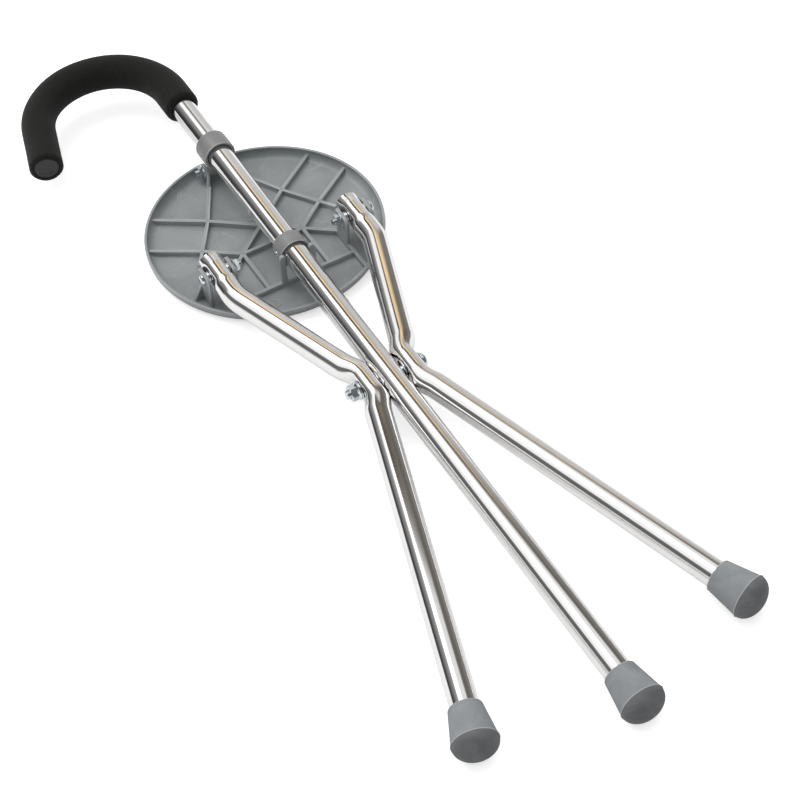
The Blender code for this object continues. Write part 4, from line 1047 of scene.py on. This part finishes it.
def polished_tube(tree, coordinates):
    """Drawn and polished aluminium: mirror bright, with faint lengthwise streaks and a few fine scuffs."""
    place, surface = coordinates["Object"], coordinates["UV"]
    streaks = put(tree, STREAK, surface, Round=1400.0, Along=9.0)
    waves = put(tree, STREAK, surface, Round=260.0, Along=5.0)
    scuffs = put(tree, SCUFF, place, Scale=90.0)
    clouds = put(tree, CLOUD, place, Scale=45.0, Contrast=1.6)
    tone = mixed(tree, clouds, grey(236, 1.0), grey(247, 1.0))
    dulled = mixed(tree, spread(tree, scuffs, 0.0, 0.35), tone, grey(205, 1.0))
    rough = maths(tree, "MULTIPLY_ADD", scuffs, 0.18, spread(tree, streaks, 0.05, 0.12, 0.3, 0.7))
    waved = bumped(tree, waves, 0.06, 0.05 * MM)
    return dulled, rough, bumped(tree, streaks, 0.10, 0.01 * MM, Normal=waved)


def zinc_plate(tree, coordinates):
    """Bright zinc: bluish, with paler passivated patches, paler edges that are partly worn and partly a painted
    highlight, and a slight grain.
    """
    place = coordinates["Object"]
    patches = put(tree, CLOUD, place, Scale=220.0, Contrast=2.2)
    plated = mixed(tree, patches, grey(212, -8.0, 2.0), grey(236, -6.0, 2.0))
    # Painted highlight and wear: the sharp edges go over to a near-white zinc.
    return (worn_and_glinting(tree, plated, grey(245, -4.0)), spread(tree, patches, 0.07, 0.16),
            grained(tree, place, 2600.0, 0.20, 0.05 * MM))


def moulded_plastic(tree, coordinates):
    """Grey polypropylene: satin, with cloudy flow patches, a spark-eroded grain, whitish scuffs and smears, and
    paler edges that are partly worn and partly a painted highlight. It is darker where the mesh carries
    deep_colour.
    """
    place = coordinates["Object"]
    clouds = put(tree, CLOUD, place, Scale=17.0, Contrast=2.4)
    small = put(tree, CLOUD, place, Scale=160.0, Contrast=1.2)
    colour = mixed(tree, clouds, grey(121, -3.5, 1.5), grey(146, -3.5, 1.5))
    colour = mixed(tree, spread(tree, small, 0.0, 0.3), colour, grey(158, -1.0, 1.0))
    colour = mixed(tree, from_mesh(tree, "deep_colour"), colour, mixed(tree, small, grey(114), grey(128)))
    for marks, share, level in ((put(tree, SCUFF, place, Scale=55.0), 0.32, 200),
                                (put(tree, SMEAR, place, Scale=26.0, Width=0.022), 0.20, 205)):
        colour = mixed(tree, spread(tree, marks, 0.0, share), colour, grey(level, -1.0, 1.0))
    # Painted highlight and wear: the sharp edges go over to a pale grey.
    return (worn_and_glinting(tree, colour, grey(192, -1.5, 1.0)), spread(tree, clouds, 0.42, 0.30),
            grained(tree, place, 1700.0, 0.30, 0.08 * MM))


def tip_rubber(tree, coordinates):
    """Grey rubber: matt, with pale bloom, dark crumbs and a fine grain, with painted shade on the dome, which
    faces down and away from the light, and a lip that is paler, partly worn and partly a painted highlight. The UV
    map's v is the distance from the dome's pole.
    """
    place = coordinates["Object"]
    depth = node(tree, "SeparateXYZ", {0: coordinates["UV"]}).outputs["Y"]
    dome = TIP_LENGTH - TIP_SHOULDER - 2.0 * TIP_LIP
    # Painted shade: the dome, which faces down and away from the light, gets a darker colour.
    shaded_dome = spread(tree, depth, 1.0, 0.0, dome - TIP_LIP, dome + TIP_LIP)
    bloom = put(tree, CLOUD, place, Scale=60.0, Contrast=2.0)
    crumbs = put(tree, CELLS, place, Scale=700.0)
    sleeve = mixed(tree, bloom, grey(130, -3.0), grey(149, -3.0))
    # Painted shade colour for the dome.
    shaded_dome_colour = mixed(tree, bloom, grey(92, -2.0), grey(118, -2.0))
    base = mixed(tree, shaded_dome, sleeve, shaded_dome_colour)
    flecked = mixed(tree, spread(tree, crumbs, 0.3, 0.0, 0.0, 0.35), base, grey(98, -2.0))
    # Painted highlight and wear: the lip and other sharp edges go over to a pale grey.
    return (worn_and_glinting(tree, flecked, grey(186, -2.0)), spread(tree, bloom, 0.66, 0.8),
            grained(tree, place, 1300.0, 0.35, 0.12 * MM))


def grip_foam(tree, coordinates):
    """Black closed-cell foam: tiny cells, faint grey dust and a soft sheen at its flanks."""
    place = coordinates["Object"]
    cells = put(tree, CELLS, place, Scale=1300.0)
    dust = put(tree, CLOUD, place, Scale=90.0, Contrast=2.0)
    base = mixed(tree, dust, grey(25, 1.0, 0.8), grey(36, 1.0, 0.8))
    pitted = mixed(tree, spread(tree, cells, 0.0, 0.6, 0.1, 0.7), base, grey(16, 0.5, 0.5))
    return pitted, spread(tree, dust, 0.85, 0.95), bumped(tree, cells, 0.6, 0.25 * MM)


def end_plug_plastic(tree, coordinates):
    """Black polythene plug: satin, with a faint haze."""
    place = coordinates["Object"]
    haze = put(tree, CLOUD, place, Scale=120.0, Contrast=2.0)
    return (mixed(tree, haze, grey(40), grey(54)), spread(tree, haze, 0.42, 0.58),
            grained(tree, place, 1800.0, 0.25, 0.06 * MM))


FINISHES = {
    "polished_tube": finish("polished_tube", polished_tube, Metallic=1.0),
    "zinc_fastener": finish("zinc_plate", zinc_plate, Metallic=1.0),
    "moulded_plastic": finish("moulded_plastic", moulded_plastic, Specular_IOR_Level=0.55),
    "tip_rubber": finish("tip_rubber", tip_rubber, Specular_IOR_Level=0.3),
    "grip_foam": finish("grip_foam", grip_foam, Specular_IOR_Level=0.25, Sheen_Weight=0.07,
                        Sheen_Roughness=0.5),
    "end_plug_plastic": finish("end_plug_plastic", end_plug_plastic, Specular_IOR_Level=0.4),
}


# Pieces

def dress(piece, slot, body, *nodes):
    """Give a new piece its finish and body, and hide the nodes that it stands for."""
    piece.data.materials.clear()
    piece.data.materials.append(FINISHES[slot])
    mark_wear_and_glint(piece)
    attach(piece, body)
    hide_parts(*nodes)
    return piece


def dress_cane():
    """Tube, foam, plug, tip and both collars."""
    dress(cane_tube(), "polished_tube", "cane", "main_shaft")
    foam = dress(crook_foam(), "grip_foam", "cane", "handle_grip")
    dress(crook_plug(), "end_plug_plastic", "cane", "handle_end_plug")
    dress(rubber_tip("cane", (0.0, SHAFT_FOOT, 0.0), (0.0, -1.0, 0.0)), "tip_rubber", "cane", "main_tip")
    dress(carry(stop_ring(), "deep_colour", 1.0), "moulded_plastic", "cane", "stop_collar")
    dress(stop_pin(), "zinc_fastener", "cane", "stop_pin")
    dress(carry(slide_ring(), "deep_colour", 1.0), "moulded_plastic", "sliding_collar", "sliding_collar")


def dress_legs():
    """Both legs and their tips."""
    headings, centres = leg_path()
    for side, word in SIDES:
        body = word + "_leg"
        dress(leg_tube(word, side), "polished_tube", body, body)
        foot = np.array([side * centres[0, 0], centres[0, 1], 0.0])
        down = -np.array([side * math.cos(headings[0]), math.sin(headings[0]), 0.0])
        dress(rubber_tip(word, foot, down), "tip_rubber", body, word + "_tip")


def dress_bolt(names, sizes, outward, head_seat, nut_seat, place, body, *nodes):
    """Screw and nut through a hinge. The seats are how far from the place the head and the nut stand."""
    radius, head_height, head_radius, nut_height, nut_radius = sizes
    shank = head_seat + nut_seat + nut_height + SCREW_TAIL
    screw = button_screw(names[0], radius, shank, outward, head_height, head_radius,
                         place + ACROSS * outward * head_seat)
    nut = hex_nut(names[1], nut_radius, radius, nut_height, -outward, nut_seat, place)
    for piece, stands_for in zip((screw, nut), nodes):
        dress(piece, "zinc_fastener", body, stands_for)


def dress_pivot():
    """Bolt, nut, washers and spacers at the leg pivot."""
    bore = PIVOT_BOLT_RADIUS + GAP
    spacer = TUBE_RADIUS + GAP
    ring = LEG_WAIST_X + LEG_WAIST + GAP
    seat = ring + PIVOT_WASHER + GAP
    for side, word in SIDES:
        for form, radius, near, thickness, stands_for in (
                ("_spacer", PIVOT_SPACER_RADIUS, spacer, PIVOT_SPACER, "pivot_spacer_"),
                ("_pivot_ring", PIVOT_WASHER_RADIUS, ring, PIVOT_WASHER, "pivot_washer_")):
            made = washer(word + form, radius, bore, side * near, side * (near + thickness), PIVOT)
            dress(made, "zinc_fastener", "cane", stands_for + word)
    dress_bolt(("leg_bolt", "leg_bolt_nut"), PIVOT_BOLT, 1.0, seat, seat, PIVOT, "cane",
               "pivot_bolt", "pivot_nut")


def dress_hinges():
    """Screws, nuts and washers of the seat's three hinges."""
    nut_seat = GAP + LUG_THICKNESS - INNER_LUG_FACE
    head_seat = OUTER_LUG_FACE + LUG_THICKNESS + GAP
    for side, word in SIDES:
        for place, near, far in (("inner", INNER_LUG_FACE, LEG_TOP_X - LEG_TOP_WIDTH),
                                 ("outer", LEG_TOP_X + LEG_TOP_WIDTH, OUTER_LUG_FACE)):
            ring = washer(word + "_" + place + "_ring", HINGE_WASHER_RADIUS, HINGE_SCREW_RADIUS + GAP,
                          side * (near + GAP), side * (far - GAP), HINGE)
            dress(ring, "zinc_fastener", "seat", word + "_leg_washer_" + place)
        dress_bolt((word + "_hinge_bolt", word + "_hinge_nut"), HINGE_BOLT, side, head_seat, nut_seat, HINGE,
                   "seat", word + "_leg_screw", word + "_leg_nut")
    seat = COLLAR_LUG_FACE + COLLAR_LUG_THICKNESS + GAP
    dress_bolt(("collar_bolt", "collar_bolt_nut"), HINGE_BOLT, 1.0, seat, seat, COLLAR_HINGE, "seat",
               "collar_hinge_screw", "collar_hinge_nut")


for subpart in frame["record"]["subparts"]:
    carried = frame["nodes"][subpart["node"]]
    carried.data.materials.clear()
    carried.data.materials.append(FINISHES[subpart["material_slot"]])

dress_cane()
dress_legs()
dress_pivot()
dress_hinges()
dress(seat_moulding(), "moulded_plastic", "seat", "seat")

# Studio: camera, floor and lamp

CAMERA_TARGET = (-5.817 * MM, -26.702 * MM, 0.0)
CAMERA_AZIMUTH = math.radians(-26.815)
CAMERA_ELEVATION = math.radians(49.909)
CAMERA_ROLL = math.radians(-4.090)
CAMERA_DISTANCE = 1617.51 * MM
CAMERA_LENS = 90.97
SENSOR_WIDTH = 36.0
FLOOR_SIZE = 4.0
FLOOR_LEVEL = 231
FLOOR_LIFT = 0.55
FLOOR_MIRROR_LIFT = 0.06
LAMP_SIZE = (1.1, 0.9)
LAMP_POWER = 14.0
LAMP_PLACE = (-0.4, 0.9, 1.8)
LAMP_LEAN = (math.radians(-26.0), math.radians(-12.0), 0.0)

# Cards and flags round the studio. A spot is degrees from straight up towards the right, and a lean is how
# much of a direction points to the back. The white card's left edge and the dark flag at its right each
# have a spot towards the front of the studio, another towards the back, and a lean in between. Far back the
# flag turns away again and loses its warm edge. Rows give a spot, a grey level and a warmth.
CARD_EDGE = (-51.0, -25.0)
CARD_LEAN = (0.53, 0.60)
CARD_BLEND = (-3.0, 4.0)
FLAG_SPOT = (46.0, 8.0)
FLAG_LEAN = (0.41, 0.60)
FLAG_SHARE = (0.48, 0.56)
FLAG_RETURN = 7.0
FLAG_BLEND = (-15.0, -11.0)
FAR_SHARE = (0.655, 0.68)
RIGHT_BLEND = (26.0, 42.0)
RIGHT_LEVELS = ((122, 1.0), (204, 0.0))
LOW_BLEND = (84.0, 92.0)
LOW_LEVEL = 150
DARK_FRONT = (-0.22, -0.06)
DARK_LEVEL = 112
SOFTBOX_LEVEL = 1.6
SOFTBOX_START = (-30.0, -18.0)
SOFTBOX_END = (-6.0, 6.0)
SOFTBOX_LEAN = (0.62, 0.70)
LEFT_FRONT = ((-118.0, 197, 0.0), (-104.0, 174, 0.0), (-94.0, 220, 0.0), (-87.0, 246, 0.0),
              (-82.0, 170, 0.0), (-77.0, 106, -2.0), (-64.0, 97, 0.0), (-54.0, 122, 0.0), (-48.0, 160, 0.0))
LEFT_BACK = ((-118.0, 160, 0.0), (-104.0, 208, 0.0), (-94.0, 200, 0.0), (-87.0, 120, 0.0), (-80.0, 58, -2.0),
             (-72.0, 60, -2.0), (-63.0, 94, 0.0), (-51.0, 122, 0.0), (-39.0, 142, 0.0), (-26.0, 172, 0.0))
WHITE_CARD = ((0.0, 255, 0.0), (30.0, 252, 0.0), (52.0, 240, 0.0), (75.0, 232, 0.0))
FRONT_FLAG = ((-16.0, 226, 0.0), (-8.0, 128, 3.0), (0.0, 98, 6.0), (14.0, 103, 5.0), (28.0, 126, 2.0))
BACK_FLAG = ((-12.0, 230, 0.0), (-8.0, 140, 5.0), (-4.0, 78, 9.0), (4.0, 74, 9.0), (7.0, 140, 28.0),
             (10.0, 216, 42.0), (17.0, 218, 42.0), (21.0, 178, 14.0), (30.0, 168, 3.0), (42.0, 196, 0.0))
FAR_FLAG = ((-10.0, 240, 0.0), (-6.0, 150, 2.0), (-1.0, 102, 3.0), (3.0, 112, 4.0), (7.0, 205, 2.0),
            (16.0, 226, 0.0), (42.0, 206, 0.0))
WHITE = (1.0, 1.0, 1.0, 1.0)

# Soft light from above and behind, on all but mirror reflections
KEY_DIRECTION = (-0.08, 0.46, 0.88)
KEY_RANGE = (-0.3, 0.9)
FRONT_LEVEL = 0.14
KEY_LEVEL = 1.22


def studio_camera():
    """Camera that looks at a point of the cane from an azimuth, elevation and distance, rolled a little."""
    back = np.array([math.sin(CAMERA_AZIMUTH) * math.cos(CAMERA_ELEVATION),
                     -math.cos(CAMERA_AZIMUTH) * math.cos(CAMERA_ELEVATION), math.sin(CAMERA_ELEVATION)])
    level = np.cross(UPRIGHT, back)
    level = level / np.linalg.norm(level)
    upright = np.cross(back, level)
    right = level * math.cos(CAMERA_ROLL) + upright * math.sin(CAMERA_ROLL)
    up = -level * math.sin(CAMERA_ROLL) + upright * math.cos(CAMERA_ROLL)
    place = to_world(np.array(CAMERA_TARGET) + back * CAMERA_DISTANCE)
    turn = np.stack([right, up, back]) @ CANE_AXES
    data = bpy.data.cameras.new("studio_camera")
    data.lens = CAMERA_LENS
    data.sensor_width = SENSOR_WIDTH
    made = placed("studio_camera", data)
    made.matrix_world = Matrix([(*turn[:, row], place[row]) for row in range(3)] + [(0.0, 0.0, 0.0, 1.0)])
    bpy.context.scene.camera = made


def studio_floor():
    """Pale floor: white paint, with a little light of its own towards the camera and in mirrors."""
    mesh = bpy.data.meshes.new("studio_floor")
    corners = [(FLOOR_SIZE * x, FLOOR_SIZE * y, 0.0) for x, y in ((-1, -1), (1, -1), (1, 1), (-1, 1))]
    mesh.from_pydata(corners, [], [(0, 1, 2, 3)])
    floor = placed("studio_floor", mesh)
    paint, tree, shader = material("floor_paint", Roughness=0.9, Base_Color=grey(FLOOR_LEVEL),
                                   Emission_Color=WHITE)
    path = node(tree, "LightPath").outputs
    mirrored = maths(tree, "MULTIPLY", path["Is Glossy Ray"], FLOOR_MIRROR_LIFT)
    lift = maths(tree, "MULTIPLY_ADD", path["Is Camera Ray"], FLOOR_LIFT, mirrored)
    tree.links.new(lift, shader["Emission Strength"])
    floor.data.materials.append(paint)


def row_of_cards(tree, angle, cards):
    """Colour of a row of cards at an angle in degrees, blended between the spots."""
    first, last = cards[0][0], cards[-1][0]
    ramp = node(tree, "ValToRGB", {"Fac": spread(tree, angle, 0.0, 1.0, first, last)})
    stops = ramp.color_ramp.elements
    stops.remove(stops[1])
    for number, (degrees, level, warmth) in enumerate(cards):
        spot = (degrees - first) / (last - first)
        stop = stops[0] if number == 0 else stops.new(spot)
        stop.position = spot
        stop.color = grey(level, warmth, 0.2 * warmth)
    return ramp.outputs["Color"]


def studio_cards(tree, direction):
    """What a mirror sees: from left to right a row of dark and grey cards, the white card overhead with a
    brighter softbox in it, a dark flag with a warm edge, and grey on the right that is darker towards the
    front. The room behind the camera is dark.
    """
    parts = node(tree, "SeparateXYZ", {0: direction}).outputs
    angle = maths(tree, "DEGREES", maths(tree, "ARCTAN2", parts["X"], parts["Z"]))
    back = parts["Y"]
    card_edge = spread(tree, back, *CARD_EDGE, *CARD_LEAN)
    flag_return = spread(tree, back, 0.0, FLAG_RETURN, *FAR_SHARE)
    flag_spot = maths(tree, "ADD", spread(tree, back, *FLAG_SPOT, *FLAG_LEAN), flag_return)
    past_edge = maths(tree, "SUBTRACT", angle, card_edge)
    past_flag = maths(tree, "SUBTRACT", angle, flag_spot)
    share = spread(tree, back, 0.0, 1.0, *FLAG_SHARE)
    left = mixed(tree, spread(tree, back, 0.0, 1.0, *CARD_LEAN), row_of_cards(tree, angle, LEFT_FRONT),
                 row_of_cards(tree, angle, LEFT_BACK))
    right = mixed(tree, share, *(grey(level, warmth) for level, warmth in RIGHT_LEVELS))
    flag = mixed(tree, share, row_of_cards(tree, past_flag, FRONT_FLAG),
                 row_of_cards(tree, past_flag, BACK_FLAG))
    far_share = spread(tree, back, 0.0, 1.0, *FAR_SHARE)
    flag = mixed(tree, far_share, flag, row_of_cards(tree, past_flag, FAR_FLAG))
    softbox = maths(tree, "MULTIPLY", spread(tree, angle, 0.0, SOFTBOX_LEVEL, *SOFTBOX_START),
                    spread(tree, angle, 1.0, 0.0, *SOFTBOX_END))
    boost = maths(tree, "MULTIPLY_ADD", softbox, spread(tree, back, 1.0, 0.0, *SOFTBOX_LEAN), 1.0)
    white = node(tree, "VectorMath", {0: row_of_cards(tree, past_edge, WHITE_CARD), "Scale": boost},
                 operation="SCALE").outputs[0]
    shown = left
    for spot, blend, card in ((past_edge, CARD_BLEND, white), (past_flag, FLAG_BLEND, flag),
                              (past_flag, RIGHT_BLEND, right), (angle, LOW_BLEND, grey(LOW_LEVEL))):
        shown = mixed(tree, spread(tree, spot, 0.0, 1.0, *blend), shown, card)
    return mixed(tree, spread(tree, back, 1.0, 0.0, *DARK_FRONT), shown, grey(DARK_LEVEL))


def studio_world():
    """White to the camera, cards and flags to mirrors, and a soft light from above and behind."""
    world = bpy.data.worlds.new("studio")
    bpy.context.scene.world = world
    world.use_nodes = True
    tree = world.node_tree
    direction = node(tree, "TexCoord").outputs["Generated"]
    towards_key = node(tree, "VectorMath", {0: direction, 1: KEY_DIRECTION}, operation="DOT_PRODUCT")
    soft = spread(tree, towards_key.outputs["Value"], FRONT_LEVEL, KEY_LEVEL, *KEY_RANGE)
    path = node(tree, "LightPath").outputs
    mirrored = mixed(tree, path["Is Glossy Ray"], soft, studio_cards(tree, direction))
    shown = mixed(tree, path["Is Camera Ray"], mirrored, WHITE)
    background = tree.nodes["Background"].inputs
    tree.links.new(shown, background["Color"])
    background["Strength"].default_value = 1.0


def overhead_lamp():
    """One large soft lamp above and behind. Mirrors see the cards in its place."""
    lamp = bpy.data.lights.new("overhead_lamp", "AREA")
    lamp.shape = "RECTANGLE"
    lamp.size, lamp.size_y = LAMP_SIZE
    lamp.energy = LAMP_POWER
    made = placed("overhead_lamp", lamp)
    made.location = LAMP_PLACE
    made.rotation_euler = LAMP_LEAN
    made.visible_glossy = False


studio_camera()
studio_floor()
studio_world()
overhead_lamp()
bpy.context.scene.view_settings.view_transform = "Standard"
